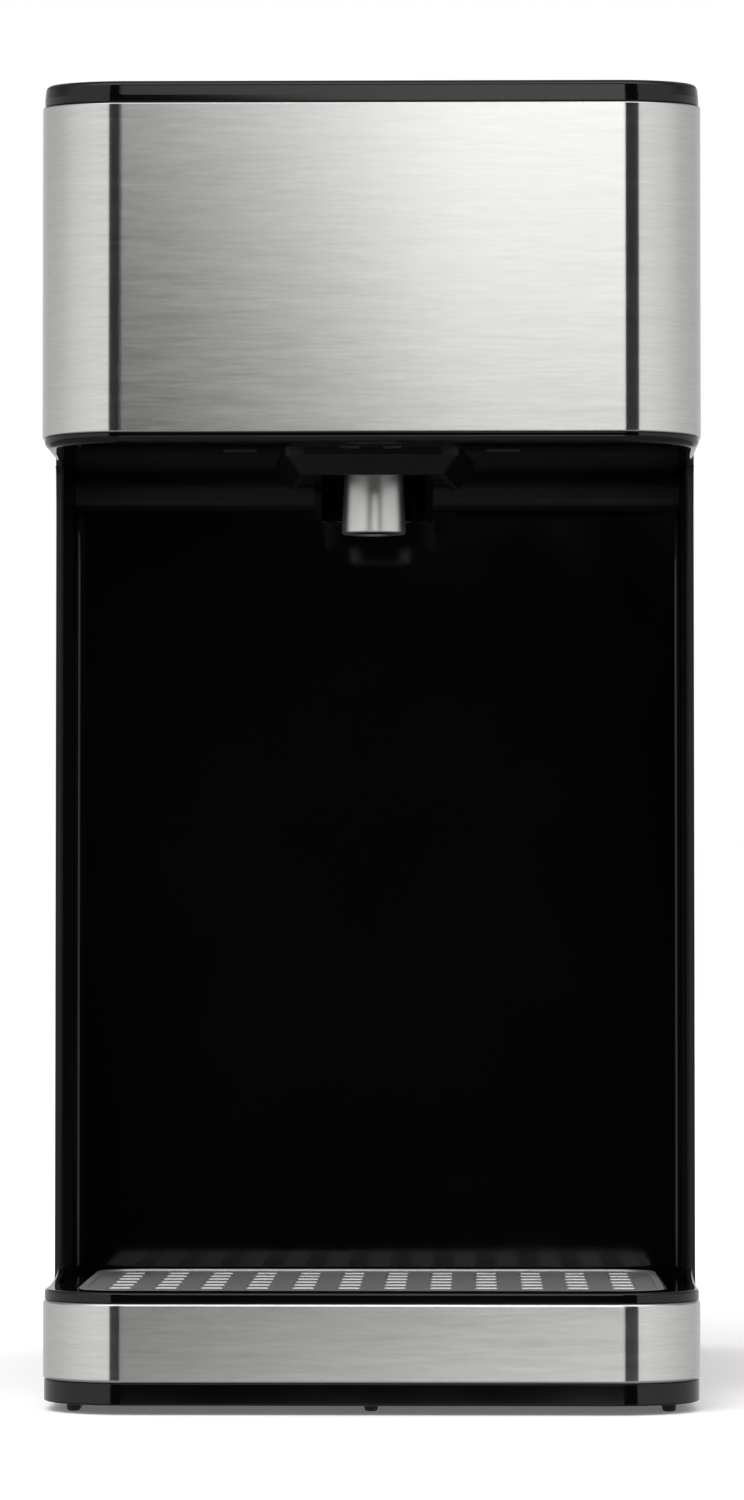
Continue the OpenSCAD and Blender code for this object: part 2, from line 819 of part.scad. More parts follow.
module outlet_chamber() {
    reach = chamber_d / 2 + spigot_l;
    color("#e4e4e0") translate([0, nozzle_y, chamber_z]) difference() {
        union() {
            cylinder(d = chamber_d, h = chamber_h);
            translate([0, 0, chamber_h / 2]) rotate([-90, 0, 0]) cylinder(d = spigot_d, h = reach);
        }
        translate([0, 0, 2]) cylinder(d = chamber_d - 4, h = chamber_h - 4);
        translate([0, 0, -1]) cylinder(d = outlet_d, h = 4);
        translate([0, 0, chamber_h / 2]) rotate([-90, 0, 0]) cylinder(d = spigot_bore, h = reach + 1);
    }
}

heater_top_z = heater_z + heater_l;

module outlet_hose() {
    start_z = heater_top_z + cap_end - 4 + spigot_l - push_on;
    run_a = hose_high_z - hose_bend - start_z;
    run_b = heater_y - hose_bend - (nozzle_y + chamber_d / 2 + spigot_l) + push_on;
    color("#c9c4b4") translate([0, heater_y, start_z]) rotate([0, 0, 180]) bent_hose(run_a, run_b);
}

module heater_tube() {
    color("#a9a8a5") translate([0, heater_y, heater_z]) tube(heater_d, heater_d - 2.4, heater_l);
}

// End caps of the heater, with a spigot on each
module heater_caps() {
    bore = heater_d + 2 * running;
    color("#2b2b2d") for (e = [[heater_z, 0], [heater_top_z, 180]])
        translate([0, heater_y, e[0]]) rotate([e[1], 0, 0]) difference() {
            union() {
                translate([0, 0, 4 - cap_end]) cylinder(d = bore + 5, h = cap_end + 4);
                translate([0, 0, 4 - cap_end - spigot_l]) cylinder(d = spigot_d, h = spigot_l + 1);
            }
            cylinder(d = bore, h = cap_end + 1);
            translate([0, 0, -cap_end - spigot_l]) cylinder(d = spigot_bore, h = cap_end + spigot_l + 1);
        }
}

module heating_element() {
    color("#7d7a75") translate([0, heater_y, heater_z + rest_gap])
        tube(heater_d - 8, heater_d - 14, heater_l - 2 * rest_gap);
}

// Two clips that hold the heater to the wall of the tank bay
module heater_clips() {
    bore = heater_d + 2 * running;
    reach = bay_y - wall - heater_y;
    color("#d8d8d4") for (z = [heater_z + clip_in, heater_top_z - clip_in - clip_h])
        translate([0, heater_y, z]) difference() {
            union() {
                cylinder(d = bore + 2 * wall, h = clip_h);
                translate([-clip_w / 2, 0, 0]) cube([clip_w, reach, clip_h]);
            }
            translate([0, 0, -1]) cylinder(d = bore, h = clip_h + 2);
        }
}

module thermal_cutouts() {
    color("#c7b98f") for (e = [-0.5, 0.5])
        translate([0, heater_y - heater_d / 2 - fit_gap, heater_z + heater_l / 2 + e * cutout_pitch])
            rotate([90, 0, 0]) {
                cylinder(d = cutout_d, h = cutout_h);
                for (s = [-1, 1]) translate([s * cutout_d / 4 - 1, -2.5, cutout_h - 1]) cube([2, 5, 5]);
            }
}

module pressure_hose() {
    end_z = heater_z + 4 - cap_end - spigot_l + push_on;
    start_y = pump_y - pump_d / 2 - spigot_l + push_on;
    run_a = end_z - outlet_z - hose_bend;
    run_b = start_y - heater_y - hose_bend;
    color("#c9c4b4") translate([0, heater_y, end_z]) rotate([180, 0, 0]) mirror([0, 1, 0])
        bent_hose(run_a, run_b);
}

module pump_head() {
    reach = pump_d / 2 + spigot_l;
    color("#3a3b3d") translate([0, pump_y, pump_z]) difference() {
        union() {
            rotate([0, 90, 0]) translate([0, 0, -pump_l / 2]) {
                cylinder(d = pump_d, h = pump_l);
                translate([0, 0, -spigot_l]) cylinder(d = spigot_d, h = spigot_l + 1);
            }
            translate([0, 0, outlet_z - pump_z]) rotate([90, 0, 0]) cylinder(d = spigot_d, h = reach);
        }
        rotate([0, 90, 0]) translate([0, 0, -pump_l / 2]) {
            translate([0, 0, pump_wall]) cylinder(d = pump_d - 2 * pump_wall - 1, h = pump_l - 2 * pump_wall);
            translate([0, 0, -spigot_l - 1]) cylinder(d = spigot_bore, h = spigot_l + 4);
            translate([0, 0, pump_l / 2]) cylinder(d = shaft_d + 2 * running, h = pump_l);
        }
        translate([0, 0, outlet_z - pump_z]) rotate([90, 0, 0]) cylinder(d = spigot_bore, h = reach + 1);
    }
}

// Impeller on the motor's shaft
module pump_impeller() {
    tip_d = pump_d - 8;
    color("#d9d9d5") translate([0, pump_y, pump_z]) rotate([0, 90, 0]) {
        translate([0, 0, pump_l / 2 - 6]) cylinder(d = tip_d, h = 2);
        translate([0, 0, -pump_l / 2 + 5]) cylinder(d = 8, h = pump_l - 9);
        for (a = [0:60:300]) rotate([0, 0, a]) translate([2, -vane_t / 2, -pump_l / 2 + 5])
            cube([tip_d / 2 - 3, vane_t, pump_l - 10]);
        cylinder(d = shaft_d, h = pump_l / 2 + 9);
    }
}

module pump_motor() {
    color("#8b8c8e") translate([pump_l / 2, pump_y, pump_z]) rotate([0, 90, 0]) difference() {
        cylinder(d = motor_d, h = motor_l);
        translate([0, 0, -1]) cylinder(d = shaft_d + 2 * running, h = 11);
    }
}

// Saddle that carries the motor on the base pan
module pump_cradle() {
    top = pump_z - motor_d / 2 + cradle_grip;
    bottom = pan_z + floor_t;
    color("#1c1c1c") difference() {
        translate([pump_l / 2 + cradle_in, pump_y - motor_d / 2 - pump_wall, bottom])
            cube([motor_l - 2 * cradle_in, motor_d + 2 * pump_wall, top - bottom]);
        translate([0, pump_y, pump_z]) rotate([0, 90, 0])
            cylinder(d = motor_d + 2 * fit_gap, h = pump_l + motor_l);
    }
}

module inlet_hose() {
    top_z = shelf_z - port_depth - port_floor - spigot_l + push_on;
    run_a = top_z - pump_z - hose_bend;
    run_b = -pump_l / 2 - spigot_l + push_on - port_x - hose_bend;
    color("#c9c4b4") translate([port_x, port_y, top_z]) rotate([180, 0, -90]) mirror([0, 1, 0])
        bent_hose(run_a, run_b);
}

// Electronics in the column

standoff_l = 12.4;
standoff_d = 6;
standoff_in = 5;
board_x = inner_half_w - standoff_l - board_t;
board_z = shelf_z + 30;
board_h = 110;
board_l = 48;
board_y = heater_y - board_l / 2;
transformer = [18, 24, 28];
relay = [15, 14, 20];
heat_sink = [16, 34, 30];
fin_t = 2;
fin_count = 4;
part_edge = 7;
lead_d = 3;
loom_d = 4;
loom_x = 42;
loom_y = 60;
loom_bends = [[-8, 0, 0], [-13, -4, 14], [-15, -30, 42]];
lead_rise = 38;
lead_pitch = 8;
lead_sides = 8;
lead_steps = 4;

module power_board() {
    color("#1f5b3a") {
        translate([board_x, board_y, board_z]) cube([board_t, board_l, board_h]);
        for (y = [standoff_in, board_l - standoff_in], z = [standoff_in, board_h - standoff_in])
            translate([board_x + board_t - eps, board_y + y, board_z + z]) rotate([0, 90, 0])
                cylinder(d = standoff_d, h = standoff_l - fit_gap);
    }
}

module board_parts() {
    relay_z = board_z + part_edge + transformer[2] + part_edge;
    sink_z = relay_z + relay[2] + part_edge;
    fin_pitch = (heat_sink[1] - fin_t) / (fin_count - 1);
    color("#39424a") {
        translate([board_x - transformer[0], board_y + part_edge, board_z + part_edge]) cube(transformer);
        for (y = [part_edge, board_l - part_edge - relay[1]])
            translate([board_x - relay[0], board_y + y, relay_z]) cube(relay);
        translate([board_x - fin_t, board_y + part_edge, sink_z]) cube([fin_t, heat_sink[1], heat_sink[2]]);
        for (i = [0:fin_count - 1])
            translate([board_x - heat_sink[0], board_y + part_edge + i * fin_pitch, sink_z])
                cube([heat_sink[0], fin_t, heat_sink[2]]);
    }
}

// Leads inside the column, each swept along a smooth route through a few points

function unit(v) = v / norm(v);

function along(p, i, t) = let (
    a = p[max(i - 1, 0)], b = p[i], c = p[i + 1], d = p[min(i + 2, len(p) - 1)])
    b + (c - a) * t / 2 + (2 * a - 5 * b + 4 * c - d) * t * t / 2 + (3 * b - a - 3 * c + d) * t * t * t / 2;

function route(p) = concat(
    [for (i = [0:len(p) - 2], k = [0:lead_steps - 1]) along(p, i, k / lead_steps)], [p[len(p) - 1]]);

// A round lead along a route; aside is a direction that the route never takes
module lead(points, d, aside) {
    path = route(points);
    last = len(path) - 1;
    first_way = points[1] - points[0];
    last_way = points[len(points) - 1] - points[len(points) - 2];
    rings = [for (i = [0:last]) let (
        way = i == 0 ? first_way : i == last ? last_way : path[i + 1] - path[i - 1],
        ahead = unit(way),
        side = unit(cross(ahead, aside)),
        up = cross(side, ahead))
        for (k = [0:lead_sides - 1]) let (a = 360 * k / lead_sides)
            path[i] + d / 2 * (cos(a) * side + sin(a) * up)];
    skin = [for (i = [0:last - 1], k = [0:lead_sides - 1]) let (
        n = (k + 1) % lead_sides, a = i * lead_sides, b = a + lead_sides)
        each [[a + k, b + n, a + n], [a + k, b + k, b + n]]];
    end = last * lead_sides;
    ends = [for (k = [1:lead_sides - 2]) each [[0, k, k + 1], [end, end + k + 1, end + k]]];
    polyhedron(rings, concat(skin, ends));
}

function deck_point(x, y, z) = [
    x, front_y + y * cos(deck_tilt) - z * sin(deck_tilt), cap_z + y * sin(deck_tilt) + z * cos(deck_tilt)];

// From the power board up to the control board
module control_loom() {
    under = -board_drop - board_t;
    start = [board_x, heater_y, board_z + board_h - 4];
    color("#3b3b3e") lead([start, start + loom_bends[0], start + loom_bends[1], start + loom_bends[2],
        deck_point(loom_x, loom_y + 8, under - 16), deck_point(loom_x, loom_y, under - 8),
        deck_point(loom_x, loom_y, under)], loom_d, [1, 0.3, 0]);
}

// From the power board to the right-hand tab of each thermal cut-out
module heater_leads() {
    tab_y = heater_y - heater_d / 2 - fit_gap - cutout_h - 2.1;
    tab_x = cutout_d / 4 + 1;
    color("#b8b2a4") for (e = [-0.5, 0.5]) let (
        start = [board_x, board_y + 3, board_z + lead_rise + e * lead_pitch],
        end = [tab_x, tab_y, heater_z + heater_l / 2 + e * cutout_pitch])
        lead([start, start + [-10, 0, 0], (start + end) / 2, end + [8, 0, 0], end], lead_d, [0, 1, 0.2]);
}

// From the power board down to the pump's motor
module pump_leads() {
    start = [board_x, board_y + board_l - part_edge, board_z + 15];
    end = [pump_l / 2 + motor_l, pump_y, pump_z + 4];
    color("#7c2f2b") lead([start, start + [-7, 0, 0], [end[0] + 4, start[1] + 6, shelf_z + 10],
        [end[0] + 4, start[1] + 8, shelf_z - 25], [end[0] + 9, (start[1] + pump_y) / 2, end[2] + 22],
        end + [9, -5, 4], end + [6, 0, 0], end], lead_d, [1, 0.4, 0.2]);
}

// Water tank, its valve and its lid

module tank_plan(inset) {
    plan(2 * tank_half_w, tank_y, rear_y, 4, rear_r, inset);
}

module water_tank() {
    strip_h = 4;
    color("#6d7478", 0.5) difference() {
        union() {
            difference() {
                translate([0, 0, tank_z]) linear_extrude(tank_top_z - tank_z) tank_plan(0);
                translate([0, 0, tank_z + tank_wall]) linear_extrude(flat_z) tank_plan(tank_wall);
            }
            intersection() {
                translate([0, 0, tank_top_z - strip_h]) linear_extrude(strip_h) tank_plan(tank_wall / 2);
                behind(lid_rear_y + 0.6);
            }
            for (s = [-1, 1]) translate([s * (hinge_half - knuckle_l / 2) - knuckle_l / 2, hinge_y, 0]) {
                translate([0, 0, hinge_z]) rotate([0, 90, 0]) cylinder(d = knuckle_d, h = knuckle_l);
                translate([0, -knuckle_d / 2, tank_top_z - 1])
                    cube([knuckle_l, knuckle_d, hinge_z - tank_top_z + 1]);
            }
            translate([port_x, port_y, spout_z]) cylinder(d = spout_d, h = tank_z - spout_z + 1);
        }
        translate([port_x, port_y, seat_z]) cylinder(d = spout_d - 5, h = 40);
        translate([port_x, port_y, spout_z - 1]) cylinder(d = plunger_d - 4, h = 10);
        translate([-hinge_half - 1, hinge_y, hinge_z]) rotate([0, 90, 0])
            cylinder(d = hinge_pin_d + 0.04, h = 2 * hinge_half + 2);
    }
}

// Cage over the spout that guides the valve's stem
module valve_cage() {
    cage_d = spout_d + 4;
    color("#e4e4e0") translate([port_x, port_y, cage_z + rest_gap]) difference() {
        cylinder(d = cage_d, h = cage_h + cage_t);
        translate([0, 0, -1]) cylinder(d = cage_d - 2 * cage_t, h = cage_h + 1);
        for (a = [0, 60, 120]) rotate([0, 0, a]) translate([-cage_d, -3, 1.5])
            cube([2 * cage_d, 6, cage_h - 2.5]);
        cylinder(d = stem_d + 2 * running, h = cage_h + cage_t + 1);
    }
}

module valve_plunger() {
    color("#30556e") translate([port_x, port_y, plunger_z]) {
        cylinder(d = plunger_d, h = plunger_t);
        cylinder(d = stem_d, h = cage_z + cage_h + cage_t + 4 - plunger_z);
    }
}

// Coil spring between the plunger and the cage, one unbroken wire
spring_turns = 5;
spring_r = 4.2;
spring_wire = 0.9;
spring_z = plunger_z + plunger_t + spring_wire / 2 + 0.1;
spring_l = cage_z + rest_gap + cage_h - spring_z - spring_wire / 2 - 0.1;

function coil_angle(t) = 360 * spring_turns * t;

function coil_point(t) = [spring_r * cos(coil_angle(t)), spring_r * sin(coil_angle(t)), spring_l * t];

module valve_spring() {
    rings = spring_turns * 8;
    sides = 6;
    points = [for (i = [0:rings]) let (t = i / rings, p = coil_point(t), a = coil_angle(t))
        for (k = [0:sides - 1]) let (b = 360 * k / sides, out = spring_wire / 2 * cos(b))
            [p[0] + out * cos(a), p[1] + out * sin(a), p[2] + spring_wire / 2 * sin(b)]];
    skin = [for (i = [0:rings - 1], k = [0:sides - 1]) let (n = (k + 1) % sides, a = i * sides, b = a + sides)
        each [[a + k, a + n, b + n], [a + k, b + n, b + k]]];
    last = rings * sides;
    ends = [for (k = [1:sides - 2]) each [[0, k + 1, k], [last, last + k, last + k + 1]]];
    echo(spring_gap = spring_l / spring_turns - spring_wire);
    color("#b9b9b6") translate([port_x, port_y, spring_z]) polyhedron(points, concat(skin, ends));
}

module tank_lid() {
    notch_d = 26;
    skirt = 3;
    color("#111112") difference() {
        union() {
            intersection() {
                translate([0, 0, lid_z]) linear_extrude(lid_h) tank_plan(0);
                in_front_of(lid_rear_y);
            }
            translate([0, 0, lid_z - skirt]) linear_extrude(skirt + 1) difference() {
                skirt_plan(tank_wall + 1);
                skirt_plan(tank_wall + 3);
            }
            translate([-hinge_half + knuckle_l + fit_gap, hinge_y, hinge_z]) rotate([0, 90, 0])
                cylinder(d = knuckle_d, h = 2 * (hinge_half - knuckle_l - fit_gap));
            translate([-hinge_half + knuckle_l + fit_gap, lid_rear_y - 1, lid_z + 1.2])
                cube([2 * (hinge_half - knuckle_l - fit_gap), hinge_y - lid_rear_y + 1, knuckle_d - 1.6]);
        }
        translate([-hinge_half, hinge_y, hinge_z]) rotate([0, 90, 0])
            cylinder(d = hinge_pin_d + 2 * running, h = 2 * hinge_half);
        translate([0, tank_y - notch_d / 2 + 5, lid_z + 2]) cylinder(d = notch_d, h = lid_h);
    }
}

module skirt_plan(inset) {
    plan(2 * tank_half_w, tank_y, lid_rear_y, 4, 4, inset);
}

module lid_pin() {
    color("#b9b9b6") translate([-hinge_half, hinge_y, hinge_z]) rotate([0, 90, 0])
        cylinder(d = hinge_pin_d, h = 2 * hinge_half);
}

base_pan();
rubber_feet();
base_screws();
base_band();
base_deck();
drip_tray();
drip_grille();
left_side_panel();
right_side_panel();
rear_cover();
cord_bush();
tank_shelf();
port_seal();
column_rear_wall();
alcove_liner();
splash_panel();
head_underside();
nozzle_housing();
nozzle_shroud();
nozzle_core();
nozzle_sleeve();
front_panel();
top_cover();
control_panel();
indicator_lenses();
start_key();
power_key();
temperature_key();
volume_key();
lock_key();
control_board();
key_switches();
board_screws();
outlet_chamber();
outlet_hose();
heater_tube();
heater_caps();
heating_element();
heater_clips();
thermal_cutouts();
pressure_hose();
pump_head();
pump_impeller();
pump_motor();
pump_cradle();
inlet_hose();
power_board();
board_parts();
control_loom();
heater_leads();
pump_leads();
water_tank();
valve_cage();
valve_plunger();
valve_spring();
tank_lid();
lid_pin();
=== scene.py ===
"""Looks of a countertop hot water dispenser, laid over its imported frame.

New pieces are surfaces worked out as whole arrays: a profile carried along a plan, or a function of two
parameters on a grid. Lengths are in metres, +Z is up and the front faces -Y.
"""

import json
import math

import bmesh
import bpy
import numpy as np
from bpy.props import FloatProperty, FloatVectorProperty, PointerProperty
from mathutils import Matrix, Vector
from mathutils.geometry import delaunay_2d_cdt


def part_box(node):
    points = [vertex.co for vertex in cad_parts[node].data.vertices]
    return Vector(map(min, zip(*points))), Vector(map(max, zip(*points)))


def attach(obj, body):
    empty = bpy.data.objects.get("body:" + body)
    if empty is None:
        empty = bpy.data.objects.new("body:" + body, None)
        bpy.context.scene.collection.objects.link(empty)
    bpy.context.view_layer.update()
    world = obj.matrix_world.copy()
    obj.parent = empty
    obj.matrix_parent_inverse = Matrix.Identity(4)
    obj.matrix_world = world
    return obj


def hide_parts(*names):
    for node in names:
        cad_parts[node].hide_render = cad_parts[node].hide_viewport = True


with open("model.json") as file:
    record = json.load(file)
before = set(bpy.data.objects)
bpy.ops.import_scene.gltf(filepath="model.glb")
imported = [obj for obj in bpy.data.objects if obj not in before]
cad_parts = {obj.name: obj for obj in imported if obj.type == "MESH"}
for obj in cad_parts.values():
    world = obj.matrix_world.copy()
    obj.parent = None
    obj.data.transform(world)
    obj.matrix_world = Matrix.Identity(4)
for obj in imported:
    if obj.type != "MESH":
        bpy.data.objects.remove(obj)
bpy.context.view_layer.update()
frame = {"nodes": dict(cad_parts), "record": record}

bl_info = {
    "name": "Hot water dispenser",
    "version": (1, 0, 0),
    "blender": (4, 5, 0),
    "location": "View3D > Sidebar > Dispenser",
    "description": "Dresses the packed frame of a hot water dispenser",
    "category": "Object",
}

MM = 0.001
WELD = 1e-6
CREASE = math.radians(38)
ARC_STEPS = 10
RISE_STEPS = 10
EDGE_STEPS = 5
PHOTO_HEIGHT = 1500

# Radii of edges that are all but sharp

CRISP = 0.2 * MM
EASED = 0.3 * MM
SOFT = 0.4 * MM


def low(node):
    """Lowest corner of a node at rest."""
    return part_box(node)[0]


def high(node):
    """Highest corner of a node at rest."""
    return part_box(node)[1]


def middle(node):
    """Middle of a node's box at rest."""
    return (low(node) + high(node)) / 2


# Marks of the frame that several pieces share

HEAD_HALF = high("front_panel").x
FRONT_Y = low("front_panel").y
STEEL_REAR_Y = high("front_panel").y
WALL_Y = high("splash_panel").y
TOP_Z = high("top_cover").z
DECK_Z = high("base_deck").z
HEAD_Z = low("head_underside").z
DECK_TILT = math.radians(4)
PANEL_START = 16 * MM
PANEL_END = 78 * MM
KEY_ROW = ("power_key", "temperature_key", "volume_key", "lock_key")
KEYS = {"start_key": 38 * MM, **dict.fromkeys(KEY_ROW, 64 * MM)}
CAP_Z = TOP_Z - (WALL_Y - FRONT_Y) * math.tan(DECK_TILT)
CAP_HEIGHT = TOP_Z - (WALL_Y - STEEL_REAR_Y) * math.tan(DECK_TILT) - high("front_panel").z
CAP_SEAM = 0.15 * MM
NOZZLE_Y = middle("nozzle_sleeve").y
HINGE = middle("lid_pin")
SKIRT_DROP = 3 * MM
REAR_R = 14 * MM
TANK_FRONT_R = 4 * MM
KNUCKLE_R = 2.95 * MM
NOISE_SPAN = (0.3, 0.7)
PALETTE = {}


def length_property(name, description, size):
    """A length that the panel shows, with its default in millimetres."""
    return FloatProperty(name=name, description=description, default=size * MM, unit="LENGTH")


def colour_property(name, description, default):
    """A colour that the panel shows."""
    return FloatVectorProperty(
        name=name, description=description, default=default, subtype="COLOR", min=0, max=1)


class DispenserShape(bpy.types.PropertyGroup):
    """Radii and edges that the frame's solids leave sharp."""

    front_corner: length_property("Front corner", "Plan radius of the front corners", 20)
    cap_edge: length_property("Cap edge", "Radius round the top edge of the cap", 1.3)
    rim_edge: length_property("Rim edge", "Radius round the top edge of the base rim", 0.7)
    pan_edge: length_property("Pan edge", "Radius under the edge of the base pan", 0.45)
    bezel_edge: length_property("Bezel edge", "Radius under the edge of the bezel", 1.9)
    sheet_edge: length_property("Sheet edge", "Radius of the edges of the front panel", 0.35)
    band_edge: length_property("Band edge", "Radius of the edges of the base band", 0.85)
    cheek_edge: length_property("Cheek edge", "Chamfer down the front edges of the sides", 1.35)
    rim_rise: length_property("Rim rise", "How far the rim sweeps up to the sides", 2.8)
    tank_edge: length_property("Tank edge", "Radius round the floor of the tank", 3.4)
    lid_edge: length_property("Lid edge", "Radius round the top edge of the tank's lid", 1.2)
    moulded_edge: length_property("Moulded edge", "Radius of the small moulded edges", 0.5)
    mark_width: length_property("Mark width", "Stroke of the signs on the keys", 0.7)


class DispenserFinish(bpy.types.PropertyGroup):
    """Colours of the finishes that show most."""

    steel: colour_property("Steel", "Brushed steel of the front and the base", (0.63, 0.625, 0.61))
    grille: colour_property("Grille", "Satin steel of the drip grille", (0.56, 0.56, 0.555))
    chrome: colour_property("Chrome", "Plated sleeve of the nozzle", (0.78, 0.775, 0.755))
    gloss_black: colour_property("Gloss black", "Polished black plastic", (0.0018, 0.0018, 0.0019))
    satin_black: colour_property("Satin black", "Moulded black plastic", (0.0027, 0.0027, 0.0028))
    smoke: colour_property("Smoke", "Clear smoky plastic of the tank", (0.30, 0.31, 0.32))
    backdrop: colour_property("Backdrop", "Floor and background", (0.95, 0.95, 0.95))


# Paths, plans and sweeps


def rounded_path(corners, closed=True, steps=EDGE_STEPS):
    """Straight runs joined by arcs, as points and outward normals.

    A corner is (a, b, radius). Its arc starts radius * tan(turn / 2) before it, and the normal turns evenly
    from one run's to the next. A corner of no radius is one point, with a normal long enough for both runs to
    shift alike.
    """
    corners = np.asarray(corners, float)
    spots = corners[:, :2]
    ahead = np.roll(spots, -1, 0) - spots
    ahead /= np.linalg.norm(ahead, axis=1, keepdims=True)
    behind = np.roll(ahead, 1, 0)
    if not closed:
        ahead[-1] = behind[-1]
        behind[0] = ahead[0]
    points = []
    normals = []
    for spot, radius, came, goes in zip(spots, corners[:, 2], behind, ahead):
        turn = math.atan2(came[0] * goes[1] - came[1] * goes[0], came @ goes)
        first = np.array([came[1], -came[0]])
        last = np.array([goes[1], -goes[0]])
        if radius == 0 or abs(turn) < 1e-6:
            points.append(spot[None])
            normals.append(((first + last) / (1 + first @ last))[None])
            continue
        angle = np.linspace(0, turn, steps + 1)[:, None]
        swung = np.array([-first[1], first[0]])
        normal = first * np.cos(angle) + swung * np.sin(angle)
        reach = math.copysign(radius, turn)
        start = spot - came * radius * math.tan(abs(turn) / 2)
        points.append(start + reach * (normal - first))
        normals.append(normal)
    return np.concatenate(points), np.concatenate(normals)


def profile(*corners, steps=EDGE_STEPS):
    """An open rounded path of (inset, height) corners, without its normals."""
    return rounded_path(corners, closed=False, steps=steps)[0]


def rectangle(left, front, right, rear, radius=0, steps=EDGE_STEPS):
    """A closed rectangle between two corners, rounded, as points and outward normals."""
    corners = [(left, front, radius), (right, front, radius), (right, rear, radius), (left, rear, radius)]
    return rounded_path(corners, True, steps)


def plan_rows(half, front, rear, front_r, rear_r, stops=()):
    """Rows of a plan that is alike left and right, from its front edge to its rear edge.

    A row is (half width, y, normal x, normal y). The corners are quarter circles, and stops are
    rows along the sides.
    """
    a = np.linspace(0, math.pi / 2, ARC_STEPS + 1)
    sin, cos = np.sin(a), np.cos(a)
    head = np.stack([half - front_r * (1 - sin), front + front_r * (1 - cos), sin, -cos], 1)
    sides = np.array([[half, y, 1, 0] for y in stops]).reshape(-1, 4)
    tail = np.stack([half - rear_r * (1 - cos), rear - rear_r * (1 - sin), cos, sin], 1)
    return np.concatenate([head, sides, tail])


def stepped_plan(half, front, rear, front_r, inner_half, stops):
    """Rows of a plan that steps in behind the last stop, to stand between the side panels."""
    rows = plan_rows(half, front, rear, front_r, 0, [*stops, stops[-1]])
    rows[ARC_STEPS + 1 + len(stops):, 0] += inner_half - half
    return rows


def plan_loop(rows):
    """Closed loop round a plan: up the right side and down the left side, as points and outward normals."""
    turned = rows[::-1] * (-1, 1, -1, 1)
    both = np.concatenate([rows, turned])
    return both[:, :2], both[:, 2:]


def raised(flat, section, height):
    """Rings of plan points at a section's heights, plus height(x, y) where that is given."""
    z = np.broadcast_to(section[:, 1:], flat.shape[:2])
    if height is not None:
        z = z + height(flat[..., 0], flat[..., 1])
    return np.dstack([flat, z])


def nested(plan, section, height=None):
    """A section of (inset, height) points carried along a plan that is drawn smaller for each inset.

    plan gives the rows for an inset. Unlike a sweep, an inset may be larger than the radius of a corner.
    """
    return raised(np.stack([plan_loop(plan(inset))[0] for inset in section[:, 0]]), section, height)


def sweep(loop, section, height=None):
    """A section of (inset, height) points carried along a plan loop: each point moves in along the normal."""
    points, normals = loop
    return raised(points[None] - section[:, None, :1] * normals[None], section, height)


def dish(rows, bottom, top, wall, floor, flat_in, edges):
    """Rings of a dish on a plan: from under its floor, up outside, over the lip and down inside to the floor.

    edges are the radii under the floor, at the lip and round the floor inside.
    """
    under, lip, inside = edges
    section = profile(
        (flat_in, bottom, 0), (0, bottom, under), (0, top, lip), (wall, top, lip),
        (wall, bottom + floor, inside), (flat_in, bottom + floor, 0))
    return sweep(plan_loop(rows), section)


def upright(loop, thick, bottom, top, edge, inner_edge=None):
    """A sheet that stands on a plan path, as rings of a rounded strip from bottom to top.

    bottom and top are functions of x and y. The strip's outer face is the path, and its edges are arcs.
    """
    back = edge if inner_edge is None else inner_edge
    ring = rounded_path([(0, 0, edge), (0, 1, edge), (thick, 1, back), (thick, 0, back)])[0]
    points, normals = loop
    flat = points[:, None] - ring[None, :, :1] * normals[:, None]
    lower = bottom(flat[..., 0], flat[..., 1]) + ring[:, 1]
    upper = top(flat[..., 0], flat[..., 1]) - (1 - ring[:, 1])
    return np.dstack([flat, np.where(ring[:, 1] < 0.5, lower, upper)])


def lathe(section, steps=72):
    """A section of (radius, height) points turned about the vertical axis through the origin."""
    a = np.linspace(0, 2 * math.pi, steps, endpoint=False)
    r = section[:, None, 0]
    return np.dstack([r * np.cos(a), r * np.sin(a), np.broadcast_to(section[:, 1:], (len(section), steps))])


def arc(radius, start, end, steps=32):
    """An arc's points and outward normals, between two angles in degrees."""
    a = np.radians(np.linspace(start, end, steps))
    normals = np.stack([np.cos(a), np.sin(a)], 1)
    return radius * normals, normals


def hole(x, y, radius, steps=48):
    """A circle's points and outward normals."""
    points, normals = arc(radius, 0, 360, steps + 1)
    return points[:-1] + (x, y), normals[:-1]


def level(z):
    """A height that is the same everywhere."""
    return lambda x, y: np.full(np.shape(x), z)


def deck_height(x, y):
    """Height of the top: it rises from the front at the tilt and then runs level, with a soft bend."""
    bend = 5 * MM
    ahead = WALL_Y - y
    return TOP_Z - math.tan(DECK_TILT) * (ahead + np.sqrt(ahead ** 2 + bend ** 2)) / 2


def on_deck(points):
    """Points of the deck's own frame, with y up the slope from the front edge, moved to their place."""
    x, y, z = points[..., 0], points[..., 1], points[..., 2]
    sin, cos = math.sin(DECK_TILT), math.cos(DECK_TILT)
    return np.stack([x, FRONT_Y + y * cos - z * sin, CAP_Z + y * sin + z * cos], -1)


